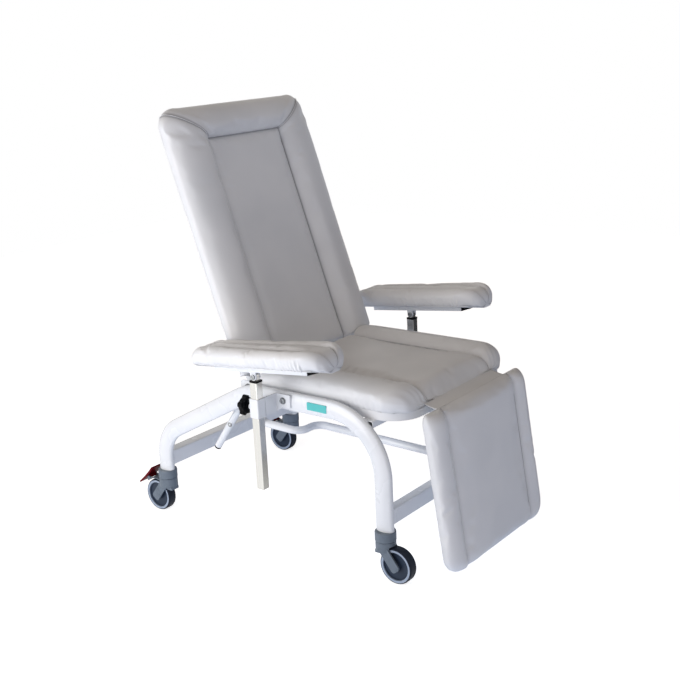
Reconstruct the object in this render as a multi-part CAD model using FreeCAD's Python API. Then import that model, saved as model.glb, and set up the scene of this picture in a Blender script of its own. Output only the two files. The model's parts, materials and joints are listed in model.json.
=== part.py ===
import FreeCAD, Part
import math
import os

V = FreeCAD.Vector

# Layout, in millimetres. The chair faces -Y, +Z is up, and the sitter's right hand is at -X.
# While the pieces are made, y is zero on the swivel axis of the rear castors.
track = 587.0
wheelbase = 823.0
overrun = 20.0
running_clearance = 0.05
loose_clearance = 0.3

# Castors
wheel_diameter = 100.0
wheel_trail = 38.0
wheel_half_width = 14.0
hub_half_width = 16.6
hub_radius = 13.0
web_half_width = 8.0
rim_inner_radius = 40.0
rim_radius = 46.5
tyre_half_width = 15.0
tyre_shoulder_drop = 1.6
tyre_tread_half_width = 9.0
axle_radius = 5.0
fork_inner_half = 17.0
fork_arm_thickness = 5.0
fork_strip_half = 14.0
fork_strip_corner = 8.0
fork_strip_beyond_axle = 13.0
wheel_gap = 3.0
housing_radius = 28.0
housing_bottom = 84.0
housing_top = 113.4
housing_edge = 2.0
skirt_drop = 7.0
skirt_half_width = 15.0
skirt_depth = 20.0
kingpin_radius = 6.0
kingpin_height = 20.0
collar_gap = 1.0
collar_radius = 29.0
collar_top = 141.0
collar_edge = 3.0
collar_socket_depth = 12.0
collar_plug_height = 34.0
collar_bore_spare = 1.0

# Brake pedals on the rear castors
guard_gap = 4.5
guard_thickness = 2.5
guard_half_width = 18.0
guard_start_angle = 48.0
guard_end_angle = 112.0
pedal_pin_angle = 58.0
pedal_pin_reach = 12.0
pedal_tilt = 12.0
pedal_pin_radius = 2.5
pedal_ear_radius = 3.9
pedal_ear_thickness = 3.6
pedal_hub_half = 14.0
pedal_hub_radius = 4.2
pedal_half_length = 42.0
pedal_half_width = 22.0
pedal_thickness = 6.5
pedal_end_lift = 4.0

# Side rails: one bent oval tube each
rail_depth = 54.0
rail_width = 30.0
rail_wall = 2.0
rail_top = 449.0
rail_slope_start = 254.0
rail_slope_angle = 27.8
rear_bend_radius = 115.0
crest_bend_radius = 205.0
front_bend_radius = 165.0

# Crossbars between the rails
front_bar_height = 45.0
front_bar_depth = 30.0
front_bar_bottom = 151.0
rear_bar_height = 45.0
rear_bar_depth = 40.0
rear_bar_bottom = 153.0
seat_bar_height = 20.0
seat_bar_depth = 40.0
front_seat_bar_inset = 106.0
rear_seat_bar_inset = 132.0
bar_wall = 2.0
bar_corner = 4.0

# Seat
seat_rear_gap = 38.0
seat_front_overhang = 53.0
seat_board_drop = 13.0
seat_board_thickness = 22.0
seat_board_half = 268.0
seat_board_front_corner = 85.0
seat_board_rear_corner = 20.0
crank_slot_depth = 34.0
crank_slot_gap = 3.0
seat_half_width = 281.0
seat_cushion_thickness = 68.0

# Backrest, which turns on a shaft between the rails
back_pivot_ahead = 350.0
back_pivot_rise = 6.0
back_tilt = 19.0
pivot_shaft_radius = 12.5
pivot_shaft_wall = 3.0
pivot_plate_thickness = 4.0
pivot_plate_half = 28.0
pivot_plate_corner = 10.0
back_board_back = -18.0
back_board_thickness = 15.0
back_board_half = 284.0
back_board_corner = 60.0
back_board_inset = 14.0
back_bottom = 33.0
back_length = 778.0
back_half_width = 300.0
back_cushion_thickness = 59.0
upright_x = 225.0
upright_width = 30.0
upright_depth = 20.0
upright_wall = 2.0
upright_corner = 3.0
upright_bottom = 55.0
upright_length = 640.0
side_plate_thickness = 6.0
side_plate_hub_radius = 22.0
side_plate_foot_radius = 18.0
side_plate_trim = 6.0
side_plate_crank_radius = 14.0
back_hub_radius = 17.5
back_hub_length = 26.0
back_cross_low = 80.0
back_cross_high = 620.0
back_cross_height = 30.0

# Crank and link tube that move the legrest with the backrest
crank_length = 120.0
link_pin_radius = 5.0
link_radius = 11.0
link_wall = 2.0
link_bush_radius = 12.5
link_bush_half = 12.0
link_bend_ahead = 140.0
link_bend_radius = 32.0
link_front_x = -150.0
pin_head_length = 3.0

# Locking gas spring
gas_crank_length = 50.0
gas_crank_rest_angle = 30.0
gas_crank_plate_gap = 14.0
gas_crank_plate_thickness = 4.0
gas_crank_plate_radius = 12.0
gas_crank_hub_radius = 20.0
gas_slot_length = 7.5
gas_slot_half = 5.2
gas_pin_radius = 4.0
gas_anchor_behind = 10.0
gas_anchor_drop = 51.0
gas_ear_radius = 10.0
gas_eye_radius = 9.0
gas_eye_half = 6.0
gas_cylinder_radius = 13.0
gas_cylinder_start = 18.0
gas_cylinder_share = 0.631
gas_cylinder_wall = 2.0
gas_cylinder_bottom = 8.0
gas_nose_length = 8.0
gas_nose_radius = 9.0
gas_rod_radius = 5.0
gas_rod_inside_share = 0.1836

# Recline release lever, which turns on the backrest's shaft
lever_radius = 10.5
lever_hub_radius = 19.0
lever_wall = 2.0
lever_angle = 35.8
lever_reach = 258.0
lever_cap_length = 8.0
lever_cap_plug = 14.0
lever_cap_edge = 3.0

# Legrest
leg_pivot_gap = 16.0
leg_pivot_rise = 9.0
leg_tilt = 8.3
leg_board_back = 16.0
leg_board_thickness = 12.0
leg_board_half = 230.0
leg_board_corner = 55.0
leg_board_inset = 10.0
leg_top = 12.0
leg_length = 441.0
leg_half_width = 243.0
leg_cushion_thickness = 36.0
leg_plate_thickness = 5.0
leg_plate_half = 190.0
leg_plate_length = 170.0
leg_plate_corner = 25.0
leg_plate_top = 4.0
leg_shaft_radius = 6.0
leg_shaft_half = 145.0
leg_knuckle_radius = 9.5
leg_knuckle_x = 122.0
leg_knuckle_half = 8.0
leg_lug_radius = 11.0
leg_lug_thickness = 5.0
hinge_bracket_x = 104.0
hinge_bracket_thickness = 6.0
hinge_boss_radius = 10.0
hinge_foot_height = 18.0
hinge_foot_length = 61.0
hinge_foot_corner = 5.0

# Armrests
arm_x = 373.0
post_ahead = 119.0
post_width = 25.0
post_wall = 1.6
post_corner = 2.5
post_length = 307.0
post_rise = 69.0
sleeve_drop = 30.0
sleeve_height = 53.0
sleeve_wall = 3.2
sleeve_corner = 3.0
slide_clearance = 0.1
arm_bracket_thickness = 5.0
arm_bracket_reach = 48.0
arm_bracket_drop = 14.0
arm_bracket_taper = 22.0
arm_bracket_corner = 3.0
arm_bracket_bolt_inset = 24.0
bolt_radius = 4.0
bolt_head_radius = 6.5
bolt_head_height = 5.0
bolt_clearance = 0.2
bolt_length = 14.0
knob_boss_radius = 9.0
knob_boss_length = 9.0
knob_stud_radius = 4.0
knob_gap = 3.0
knob_radius = 29.0
knob_lobe_radius = 8.5
knob_lobe_count = 5
knob_core_radius = 22.0
knob_thickness = 17.0
knob_neck_radius = 11.0
knob_neck_length = 6.0
knob_edge = 2.0
cap_flange = 5.0
cap_overhang = 0.6
cap_plug_depth = 14.0
tongue_width = 18.0
tongue_half_thickness = 6.0
tongue_block_depth = 24.0
tilt_pivot_rise = 16.0
tilt_angle = 6.2
tilt_bolt_radius = 4.0
tilt_head_radius = 6.5
tilt_head_height = 4.0
ear_thickness = 3.3
ear_gap = 0.2
ear_half_width = 10.0
arm_bar_bottom = 13.0
arm_bar_height = 12.0
arm_bar_width = 25.0
arm_bar_wall = 1.6
arm_bar_corner = 2.0
arm_bar_rear = 139.0
arm_bar_front = 195.0
arm_cap_length = 36.0
arm_cap_end_height = 3.0
arm_cap_plug = 12.0
arm_board_thickness = 8.0
arm_board_rear = 186.0
arm_board_front = 270.0
arm_board_rear_half = 28.0
arm_board_front_half = 60.0
arm_board_widest = 160.0
arm_board_rear_corner = 24.0
arm_board_front_corner = 50.0
arm_board_side_corner = 150.0
arm_pad_rear = 203.0
arm_pad_length = 486.0
arm_pad_half_width = 75.0
arm_pad_thickness = 60.0

# Cushion stations: how far along, half width, half width of the centre panel, and the heights
# of the bolster, the seam and the panel's middle, as shares of the cushion's own sizes.
seat_shares = [
    (0.000, 0.930, 0.58, 0.44, 0.38, 0.41),
    (0.010, 0.962, 0.58, 0.72, 0.56, 0.60),
    (0.031, 0.988, 0.58, 0.90, 0.67, 0.72),
    (0.072, 1.000, 0.58, 0.98, 0.71, 0.76),
    (0.450, 1.000, 0.58, 1.00, 0.72, 0.78),
    (0.826, 1.000, 0.58, 0.99, 0.71, 0.77),
    (0.877, 0.986, 0.58, 0.96, 0.69, 0.74),
    (0.928, 0.942, 0.58, 0.86, 0.63, 0.67),
    (0.969, 0.869, 0.57, 0.66, 0.50, 0.53),
    (0.990, 0.800, 0.56, 0.42, 0.33, 0.35),
    (1.000, 0.700, 0.55, 0.14, 0.10, 0.12),
]
back_shares = [
    (0.000, 0.935, 0.523, 0.40, 0.300, 0.330),
    (0.006, 0.962, 0.523, 0.66, 0.420, 0.450),
    (0.020, 0.985, 0.523, 0.86, 0.500, 0.540),
    (0.045, 1.000, 0.523, 0.97, 0.545, 0.600),
    (0.450, 1.000, 0.523, 1.00, 0.553, 0.620),
    (0.850, 1.000, 0.523, 0.99, 0.553, 0.580),
    (0.872, 1.000, 0.523, 0.99, 0.580, 0.600),
    (0.895, 0.998, 0.523, 0.99, 0.800, 0.820),
    (0.930, 0.992, 0.523, 0.99, 0.950, 0.980),
    (0.962, 0.970, 0.513, 0.93, 0.910, 0.940),
    (0.985, 0.930, 0.503, 0.76, 0.740, 0.760),
    (0.996, 0.890, 0.493, 0.54, 0.520, 0.540),
    (1.000, 0.860, 0.484, 0.36, 0.340, 0.360),
]
leg_shares = [
    (0.000, 0.930, 0.704, 0.40, 0.340, 0.380),
    (0.010, 0.958, 0.713, 0.68, 0.560, 0.660),
    (0.032, 0.982, 0.722, 0.87, 0.730, 0.880),
    (0.070, 1.000, 0.722, 0.95, 0.790, 0.970),
    (0.450, 1.000, 0.722, 0.97, 0.800, 1.000),
    (0.853, 1.000, 0.722, 0.96, 0.790, 0.990),
    (0.917, 0.988, 0.722, 0.94, 0.770, 0.970),
    (0.964, 0.945, 0.700, 0.85, 0.700, 0.870),
    (0.988, 0.888, 0.655, 0.68, 0.570, 0.690),
    (1.000, 0.800, 0.580, 0.42, 0.350, 0.410),
]
arm_shares = [
    (0.000, 0.300, 0.10, 0.34, 0.28, 0.29),
    (0.012, 0.470, 0.15, 0.55, 0.44, 0.46),
    (0.035, 0.600, 0.18, 0.72, 0.56, 0.58),
    (0.090, 0.700, 0.21, 0.84, 0.64, 0.66),
    (0.210, 0.780, 0.24, 0.92, 0.69, 0.71),
    (0.400, 0.880, 0.28, 0.97, 0.72, 0.74),
    (0.640, 0.970, 0.31, 1.00, 0.74, 0.76),
    (0.777, 1.000, 0.32, 1.00, 0.74, 0.76),
    (0.854, 0.985, 0.31, 0.99, 0.73, 0.75),
    (0.922, 0.900, 0.29, 0.93, 0.69, 0.71),
    (0.967, 0.740, 0.24, 0.79, 0.60, 0.62),
    (0.990, 0.520, 0.17, 0.58, 0.45, 0.47),
    (1.000, 0.340, 0.11, 0.36, 0.29, 0.30),
]
base_draw_share = 0.045
side_middle_share = 0.42
shoulder_share = 0.80
shoulder_draw_share = 0.35
crest_place_share = 0.52
oval_end_share = 0.72
inner_corner_share = 0.25


# Outlines and solids that several pieces use
def rounded_edges(points, radii):
    """A closed outline of straight runs joined by tangent arcs, one radius for each point."""
    count = len(points)
    ends = []
    for i, point in enumerate(points):
        radius = radii[i]
        if radius <= 0:
            ends.append((point, None, point))
            continue
        before = (points[i - 1] - point).normalize()
        after = (points[(i + 1) % count] - point).normalize()
        half = before.getAngle(after) / 2
        reach = radius / math.tan(half)
        bisector = (before + after).normalize()
        middle = point + bisector * (radius / math.sin(half) - radius)
        ends.append((point + before * reach, middle, point + after * reach))
    edges = []
    for i in range(count):
        start, middle, end = ends[i]
        if middle is not None:
            edges.append(Part.Arc(start, middle, end).toShape())
        follow = ends[(i + 1) % count][0]
        if (follow - end).Length > running_clearance:
            edges.append(Part.LineSegment(end, follow).toShape())
    return edges


def outline(points, radii):
    return Part.Wire(rounded_edges(points, radii))


def slab(points, radii, travel):
    """A flat plate: a rounded outline pushed along a vector."""
    return Part.Face(outline(points, radii)).extrude(travel)


def box(low, high):
    size = high - low
    return Part.makeBox(size.x, size.y, size.z, low)


def cylinder_between(start, end, radius):
    way = end - start
    return Part.makeCylinder(radius, way.Length, start, way)


def across(x_low, x_high, y, z, radius):
    """A round bar along X."""
    return cylinder_between(V(x_low, y, z), V(x_high, y, z), radius)


def strap(first, first_radius, second, second_radius, x_low, thickness):
    """A plate in the YZ plane that wraps two circles with straight sides."""
    way = second - first
    distance = way.Length
    along = V(way).normalize()
    side = V(0, -along.z, along.y)
    lean = math.acos((first_radius - second_radius) / distance)

    def touch(centre, radius, sign):
        return centre + along * (radius * math.cos(lean)) + side * (sign * radius * math.sin(lean))

    a, b = touch(first, first_radius, 1), touch(second, second_radius, 1)
    c, d = touch(second, second_radius, -1), touch(first, first_radius, -1)
    edges = [
        Part.LineSegment(a, b).toShape(),
        Part.Arc(b, second + along * second_radius, c).toShape(),
        Part.LineSegment(c, d).toShape(),
        Part.Arc(d, first - along * first_radius, a).toShape(),
    ]
    plate = Part.Face(Part.Wire(edges)).extrude(V(thickness, 0, 0))
    return plate.translated(V(x_low - first.x, 0, 0))


def rectangle(centre, across_way, half_across, up_way, half_up):
    a, u = across_way * half_across, up_way * half_up
    return [centre - a - u, centre + a - u, centre + a + u, centre - a + u]


def square_tube(start, end, across_way, half_across, up_way, half_up, corner, wall):
    """A straight rectangular tube with rounded corners, hollow when it has a wall."""
    outer = rectangle(start, across_way, half_across, up_way, half_up)
    body = slab(outer, [corner] * len(outer), end - start)
    if wall > 0:
        inner_corner = max(corner - wall, corner * inner_corner_share)
        inner = rectangle(start, across_way, half_across - wall, up_way, half_up - wall)
        body = body.cut(slab(inner, [inner_corner] * len(inner), end - start))
    return body


def revolved(profile, axis_point, axis_way):
    """A closed profile turned once round an axis."""
    full_angle = 360
    return Part.Face(profile).revolve(axis_point, axis_way, full_angle)


def bent_bar(section, points, radii):
    """A section carried along straight runs, and turned about each bend's own centre."""
    face = Part.Face(section)
    place = points[0]
    pieces = []
    for i in range(1, len(points)):
        before = (points[i] - points[i - 1]).normalize()
        reach = 0
        if i < len(points) - 1:
            after = (points[i + 1] - points[i]).normalize()
            turn = before.getAngle(after)
            reach = radii[i] * math.tan(turn / 2)
        end = points[i] - before * reach
        pieces.append(face.extrude(end - place))
        face = face.translated(end - place)
        place = end
        if reach > 0:
            axis = before.cross(after).normalize()
            centre = end + axis.cross(before) * radii[i]
            pieces.append(face.revolve(centre, axis, math.degrees(turn)))
            face = face.copy()
            face.rotate(centre, axis, math.degrees(turn))
            place = points[i] + after * reach
    return pieces[0].fuse(pieces[1:])


def closed_lines(points):
    return Part.makePolygon(points + [points[0]])


def oval(centre, half_width, half_depth):
    """The rail's section: four tangent arcs, longest in the plane of the rail's bends."""
    end_radius = half_width * oval_end_share
    rise = half_depth - end_radius
    side_radius = (rise ** 2 + half_width ** 2 - end_radius ** 2) / (2 * (half_width - end_radius))
    lean = math.atan2(rise, side_radius - half_width)

    def end_point(sign, turn):
        return centre + V(end_radius * math.cos(turn), sign * (rise + end_radius * math.sin(turn)), 0)

    touch = [end_point(1, lean), end_point(1, math.pi - lean), end_point(-1, math.pi - lean), end_point(-1, lean)]
    middles = [
        centre + V(0, half_depth, 0), centre - V(half_width, 0, 0),
        centre - V(0, half_depth, 0), centre + V(half_width, 0, 0),
    ]
    return Part.Wire([Part.Arc(touch[i], middles[i], touch[(i + 1) % len(touch)]).toShape() for i in range(len(touch))])


def cushion_section(place, row, length, half_width, base, thickness):
    """One closed section of a cushion: flat base, drawn-in sides, two bolsters and a panel."""
    along, width_share, seam_share, crest_share, seam_height_share, panel_share = row
    width = half_width * width_share
    seam = half_width * seam_share
    foot = width * (1 - base_draw_share * crest_share)
    crest = base + thickness * crest_share
    shoulder = base + thickness * crest_share * shoulder_share
    side_middle = base + thickness * crest_share * side_middle_share
    shoulder_x = width - (width - foot) * shoulder_draw_share
    crest_x = seam + (shoulder_x - seam) * crest_place_share
    seam_height = base + thickness * seam_height_share
    panel = base + thickness * panel_share
    right = [
        (foot, base), (width, side_middle), (shoulder_x, shoulder),
        (crest_x, crest), (seam, seam_height),
    ]
    points = [place(length * along, x, h) for x, h in right]
    mirror = [place(length * along, -x, h) for x, h in right]
    middle = place(length * along, 0, panel)
    edges = [
        Part.LineSegment(mirror[0], points[0]).toShape(),
        Part.Arc(points[0], points[1], points[2]).toShape(),
        Part.Arc(points[2], points[3], points[4]).toShape(),
        Part.Arc(points[4], middle, mirror[4]).toShape(),
        Part.Arc(mirror[4], mirror[3], mirror[2]).toShape(),
        Part.Arc(mirror[2], mirror[1], mirror[0]).toShape(),
    ]
    return Part.Wire(edges)


def cushion(place, rows, length, half_width, base, thickness):
    sections = [cushion_section(place, row, length, half_width, base, thickness) for row in rows]
    return Part.makeLoft(sections, True, True)


def tilted(shape, angle, pivot):
    """Lean a piece that was made upright at the origin, and take it to its pivot."""
    turned = shape.copy()
    turned.rotate(V(0, 0, 0), V(1, 0, 0), -angle)
    return turned.translated(pivot)


# Places that several pieces share
half_track = track / 2
rail_inner_x = half_track - rail_width / 2
rail_outer_x = half_track + rail_width / 2
wheel_radius = wheel_diameter / 2
collar_bottom = housing_top + collar_gap
rail_foot = collar_top - collar_socket_depth
fork_outer_half = fork_inner_half + fork_arm_thickness
back_pivot_y = -back_pivot_ahead
back_pivot_z = rail_top + back_pivot_rise
seat_rear = back_pivot_y - seat_rear_gap
seat_front = -wheelbase - seat_front_overhang
seat_board_bottom = rail_top - seat_board_drop
seat_board_top = seat_board_bottom + seat_board_thickness
front_seat_bar_y = seat_front + front_seat_bar_inset
rear_seat_bar_y = seat_rear - rear_seat_bar_inset
leg_pivot_y = seat_front - leg_pivot_gap
leg_pivot_z = seat_board_bottom + leg_pivot_rise
hinge_foot_rear = seat_front + hinge_foot_length
link_bend_y = back_pivot_y - link_bend_ahead
gas_anchor_y = front_seat_bar_y + gas_anchor_behind
gas_anchor_z = seat_board_bottom - gas_anchor_drop
post_y = back_pivot_y - post_ahead
post_top = rail_top + post_rise
post_bottom = post_top - post_length
tilt_pivot_z = post_top + tilt_pivot_rise
sleeve_bottom = rail_top - sleeve_drop
arm_bracket_low = rail_top - arm_bracket_drop
back_pivot = V(0, back_pivot_y, back_pivot_z)
leg_pivot = V(0, leg_pivot_y, leg_pivot_z)
rear_link_pin = V(0, back_pivot_y, back_pivot_z - crank_length)
front_link_pin = V(0, leg_pivot_y, leg_pivot_z - crank_length)
side_plate_x = upright_x + upright_width / 2
link_rear_x = -(side_plate_x - running_clearance - link_bush_half)
gas_angle = math.radians(gas_crank_rest_angle)
gas_rest_pin = V(
    0,
    back_pivot_y + gas_crank_length * math.sin(gas_angle),
    back_pivot_z - gas_crank_length * math.cos(gas_angle),
)
gas_anchor = V(0, gas_anchor_y, gas_anchor_z)
gas_cylinder_length = (gas_rest_pin - gas_anchor).Length * gas_cylinder_share
gas_rod_inside = (gas_rest_pin - gas_anchor).Length * gas_rod_inside_share
arm_pivot_y = post_y
sleeve_half = post_width / 2 + slide_clearance + sleeve_wall
pivot_plate_x = rail_inner_x - pivot_plate_thickness
lever_x = pivot_plate_x - running_clearance - lever_radius


def rail_route(x):
    """The rail's centre line: up the rear leg, up the slope, along the top and down the front leg."""
    slope = math.tan(math.radians(rail_slope_angle))
    slope_end = -(rail_top - rail_slope_start) / slope
    points = [
        V(x, 0, rail_foot),
        V(x, 0, rail_slope_start),
        V(x, slope_end, rail_top),
        V(x, -wheelbase, rail_top),
        V(x, -wheelbase, rail_foot),
    ]
    return points, [0, rear_bend_radius, crest_bend_radius, front_bend_radius, 0]


def rail_solid(x, inset):
    section = oval(V(x, 0, rail_foot), rail_width / 2 - inset, rail_depth / 2 - inset)
    points, radii = rail_route(x)
    return bent_bar(section, points, radii)


def bracket_bolt_y():
    return post_y - sleeve_half - arm_bracket_reach + arm_bracket_bolt_inset


def bracket_bolt_z():
    return (arm_bracket_low + sleeve_bottom + sleeve_height) / 2


def side_rail(side):
    x = side * half_track
    outer = rail_solid(x, 0)
    tube = outer.cut(rail_solid(x, rail_wall))
    hole_start, hole_end = sorted((x, side * (rail_outer_x + overrun)))
    hole = across(hole_start, hole_end, bracket_bolt_y(), bracket_bolt_z(), bolt_radius + bolt_clearance)
    return outer, tube.cut(hole)


def crossbar(y, bottom, height, depth, reach, rail_solids):
    """A rectangular tube from rail to rail, with its ends shaped to the rails."""
    centre_z = bottom + height / 2
    start, end = V(-reach, y, centre_z), V(reach, y, centre_z)
    bar = square_tube(start, end, V(0, 1, 0), depth / 2, V(0, 0, 1), height / 2, bar_corner, bar_wall)
    for solid in rail_solids:
        bar = bar.cut(solid)
    return largest_solid(bar)


def largest_solid(shape):
    return max(shape.Solids, key=lambda solid: solid.Volume)


# Castors, made with the swivel axis on Z and the wheel trailing towards +Y
def tyre_solid():
    shoulder = wheel_radius - tyre_shoulder_drop
    half = tyre_half_width
    points = [
        V(-half, 0, rim_radius), V(half, 0, rim_radius), V(half, 0, shoulder - tyre_shoulder_drop),
        V(tyre_tread_half_width, 0, wheel_radius), V(-tyre_tread_half_width, 0, wheel_radius),
        V(-half, 0, shoulder - tyre_shoulder_drop),
    ]
    bend = (half + tyre_tread_half_width) / 2
    edges = [
        Part.LineSegment(points[0], points[1]).toShape(),
        Part.LineSegment(points[1], points[2]).toShape(),
        Part.Arc(points[2], V(bend + tyre_shoulder_drop / 2, 0, shoulder + tyre_shoulder_drop / 4), points[3]).toShape(),
        Part.LineSegment(points[3], points[4]).toShape(),
        Part.Arc(points[4], V(-bend - tyre_shoulder_drop / 2, 0, shoulder + tyre_shoulder_drop / 4), points[5]).toShape(),
        Part.LineSegment(points[5], points[0]).toShape(),
    ]
    return revolved(Part.Wire(edges), V(0, 0, 0), V(1, 0, 0)).translated(V(0, wheel_trail, wheel_radius))


def wheel_solid():
    """Rim, thin web and hub, with a bore that runs on the axle."""
    bore = axle_radius + running_clearance
    right = [
        (hub_half_width, bore), (hub_half_width, hub_radius), (web_half_width, hub_radius + housing_edge),
        (web_half_width, rim_inner_radius - housing_edge), (wheel_half_width, rim_inner_radius),
        (wheel_half_width, rim_radius),
    ]
    left = [(-x, r) for x, r in reversed(right)]
    profile = closed_lines([V(x, 0, r) for x, r in right + left])
    return revolved(profile, V(0, 0, 0), V(1, 0, 0)).translated(V(0, wheel_trail, wheel_radius))


def polar(radius, angle):
    """A point round the wheel's centre, at an angle above the trailing direction."""
    turn = math.radians(angle)
    return V(0, wheel_trail + radius * math.cos(turn), wheel_radius + radius * math.sin(turn))


def fork_solid(braked):
    """Round housing, two slanting arms beside the wheel, the kingpin and the axle."""
    housing = revolved(closed_lines([
        V(0, 0, housing_bottom), V(housing_radius - housing_edge, 0, housing_bottom),
        V(housing_radius, 0, housing_bottom + housing_edge), V(housing_radius, 0, housing_top - housing_edge / 2),
        V(housing_radius - housing_edge / 2, 0, housing_top), V(0, 0, housing_top),
    ]), V(0, 0, 0), V(0, 0, 1))
    axle = V(0, wheel_trail, wheel_radius)
    root = V(0, 0, (housing_bottom + housing_top) / 2)
    way = (axle - root).normalize()
    side = V(0, -way.z, way.y)
    tip = axle + way * fork_strip_beyond_axle
    points = [
        root - side * fork_strip_half, tip - side * fork_strip_half,
        tip + side * fork_strip_half, root + side * fork_strip_half,
    ]
    corners = [0, fork_strip_corner, fork_strip_corner, 0]
    strip = slab(points, corners, V(2 * fork_outer_half, 0, 0)).translated(V(-fork_outer_half, 0, 0))
    strip = strip.cut(box(
        V(-fork_outer_half - overrun, -wheel_diameter, housing_top),
        V(fork_outer_half + overrun, wheel_diameter, wheel_diameter + housing_top),
    ))
    skirt = box(
        V(-skirt_half_width, -housing_radius + housing_edge, housing_bottom - skirt_drop),
        V(skirt_half_width, -housing_radius + housing_edge + skirt_depth, housing_bottom + housing_edge),
    )
    wheel_space = across(-fork_inner_half, fork_inner_half, wheel_trail, wheel_radius, wheel_radius + wheel_gap)
    body = housing.fuse([strip, skirt]).cut(wheel_space)
    pieces = [
        cylinder_between(V(0, 0, housing_top - housing_edge), V(0, 0, housing_top + kingpin_height), kingpin_radius),
        across(-fork_outer_half + housing_edge, fork_outer_half - housing_edge, wheel_trail, wheel_radius, axle_radius),
    ]
    if braked:
        pieces += brake_guard()
    return body.fuse(pieces).removeSplitter()


def pedal_pin_distance():
    return wheel_radius + pedal_pin_reach


def brake_guard():
    """The curved guard over the wheel, with two ears and a pin for the pedal."""
    inner = wheel_radius + guard_gap
    outer = inner + guard_thickness
    middle_angle = (guard_start_angle + guard_end_angle) / 2
    edges = [
        Part.Arc(polar(inner, guard_start_angle), polar(inner, middle_angle), polar(inner, guard_end_angle)).toShape(),
        Part.LineSegment(polar(inner, guard_end_angle), polar(outer, guard_end_angle)).toShape(),
        Part.Arc(polar(outer, guard_end_angle), polar(outer, middle_angle), polar(outer, guard_start_angle)).toShape(),
        Part.LineSegment(polar(outer, guard_start_angle), polar(inner, guard_start_angle)).toShape(),
    ]
    guard = Part.Face(Part.Wire(edges)).extrude(V(2 * guard_half_width, 0, 0))
    pieces = [guard.translated(V(-guard_half_width, 0, 0))]
    pin = polar(pedal_pin_distance(), pedal_pin_angle)
    foot = polar(inner + guard_thickness / 2, pedal_pin_angle)
    outer_x = pedal_hub_half + loose_clearance + pedal_ear_thickness
    for x_low in (-outer_x, outer_x - pedal_ear_thickness):
        pieces.append(strap(pin, pedal_ear_radius, foot, pedal_ear_radius * 2, x_low, pedal_ear_thickness).cut(
            across(-fork_outer_half, fork_outer_half, wheel_trail, wheel_radius, inner)))
    pieces.append(across(-outer_x + running_clearance, outer_x - running_clearance, pin.y, pin.z, pedal_pin_radius))
    return pieces


def pedal_solid():
    """A rocker: a curved tread plate on a hub that turns on the guard's pin."""
    pin = polar(pedal_pin_distance(), pedal_pin_angle)
    turn = math.radians(pedal_pin_angle - pedal_tilt)
    outward = V(0, math.cos(turn), math.sin(turn))
    along = V(0, -math.sin(turn), math.cos(turn))

    def at(tangent, radial):
        return pin + along * tangent + outward * radial

    low, high = pedal_hub_radius, pedal_hub_radius + pedal_thickness
    end_low, end_high = low + pedal_end_lift, high + pedal_end_lift / 2
    reach = pedal_half_length
    edges = [
        Part.Arc(at(-reach, end_low), at(0, low), at(reach, end_low)).toShape(),
        Part.LineSegment(at(reach, end_low), at(reach, end_high)).toShape(),
        Part.Arc(at(reach, end_high), at(0, high), at(-reach, end_high)).toShape(),
        Part.LineSegment(at(-reach, end_high), at(-reach, end_low)).toShape(),
    ]
    tread = Part.Face(Part.Wire(edges)).extrude(V(2 * pedal_half_width, 0, 0)).translated(V(-pedal_half_width, 0, 0))
    hub = strap(pin, pedal_hub_radius, at(0, low + pedal_thickness / 2), pedal_hub_radius / 2,
                -pedal_hub_half, 2 * pedal_hub_half)
    bore = across(-fork_outer_half, fork_outer_half, pin.y, pin.z, pedal_pin_radius + running_clearance)
    return tread.fuse(hub).cut(bore).removeSplitter()


def collar_solid():
    """Fixed socket of a castor: an oval mouth with a plug for the rail, and the kingpin's bore."""
    body = revolved(closed_lines([
        V(0, 0, collar_bottom), V(collar_radius - housing_edge / 2, 0, collar_bottom),
        V(collar_radius, 0, collar_bottom + housing_edge / 2), V(collar_radius, 0, collar_top - collar_edge),
        V(collar_radius - housing_edge / 2, 0, collar_top), V(0, 0, collar_top),
    ]), V(0, 0, 0), V(0, 0, 1))
    mouth = oval(V(0, 0, rail_foot), rail_width / 2 + running_clearance, rail_depth / 2 + running_clearance)
    body = body.cut(Part.Face(mouth).extrude(V(0, 0, collar_top)))
    shrink = rail_wall + running_clearance
    plug = oval(V(0, 0, rail_foot), rail_width / 2 - shrink, rail_depth / 2 - shrink)
    body = body.fuse(Part.Face(plug).extrude(V(0, 0, collar_plug_height)))
    bore_top = housing_top + kingpin_height + collar_bore_spare
    bore = cylinder_between(V(0, 0, 0), V(0, 0, bore_top), kingpin_radius + running_clearance)
    return body.cut(bore).removeSplitter()


def placed_castor(shape, side, front):
    placed = shape.copy()
    half_turn = 180
    if front:
        placed.rotate(V(0, 0, 0), V(0, 0, 1), half_turn)
    return placed.translated(V(side * half_track, -wheelbase if front else 0, 0))


# Seat
def seat_place(along, x, height):
    return V(x, seat_rear + (seat_front - seat_rear) * along, height)


def seat_board():
    """The seat's plywood board, with a slot at its rear edge that the backrest's crank swings into."""
    half = seat_board_half
    points = [
        V(-half, seat_rear, seat_board_bottom), V(-half, seat_front, seat_board_bottom),
        V(half, seat_front, seat_board_bottom), V(half, seat_rear, seat_board_bottom),
    ]
    rear, front = seat_board_rear_corner, seat_board_front_corner
    board = slab(points, [rear, front, front, rear], V(0, 0, seat_board_thickness))
    slot_low = V(-side_plate_x - side_plate_thickness - crank_slot_gap, seat_rear - crank_slot_depth,
                 seat_board_bottom - overrun)
    slot_high = V(-side_plate_x + crank_slot_gap, seat_rear + overrun, seat_board_top + overrun)
    return board.cut(box(slot_low, slot_high))


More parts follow.
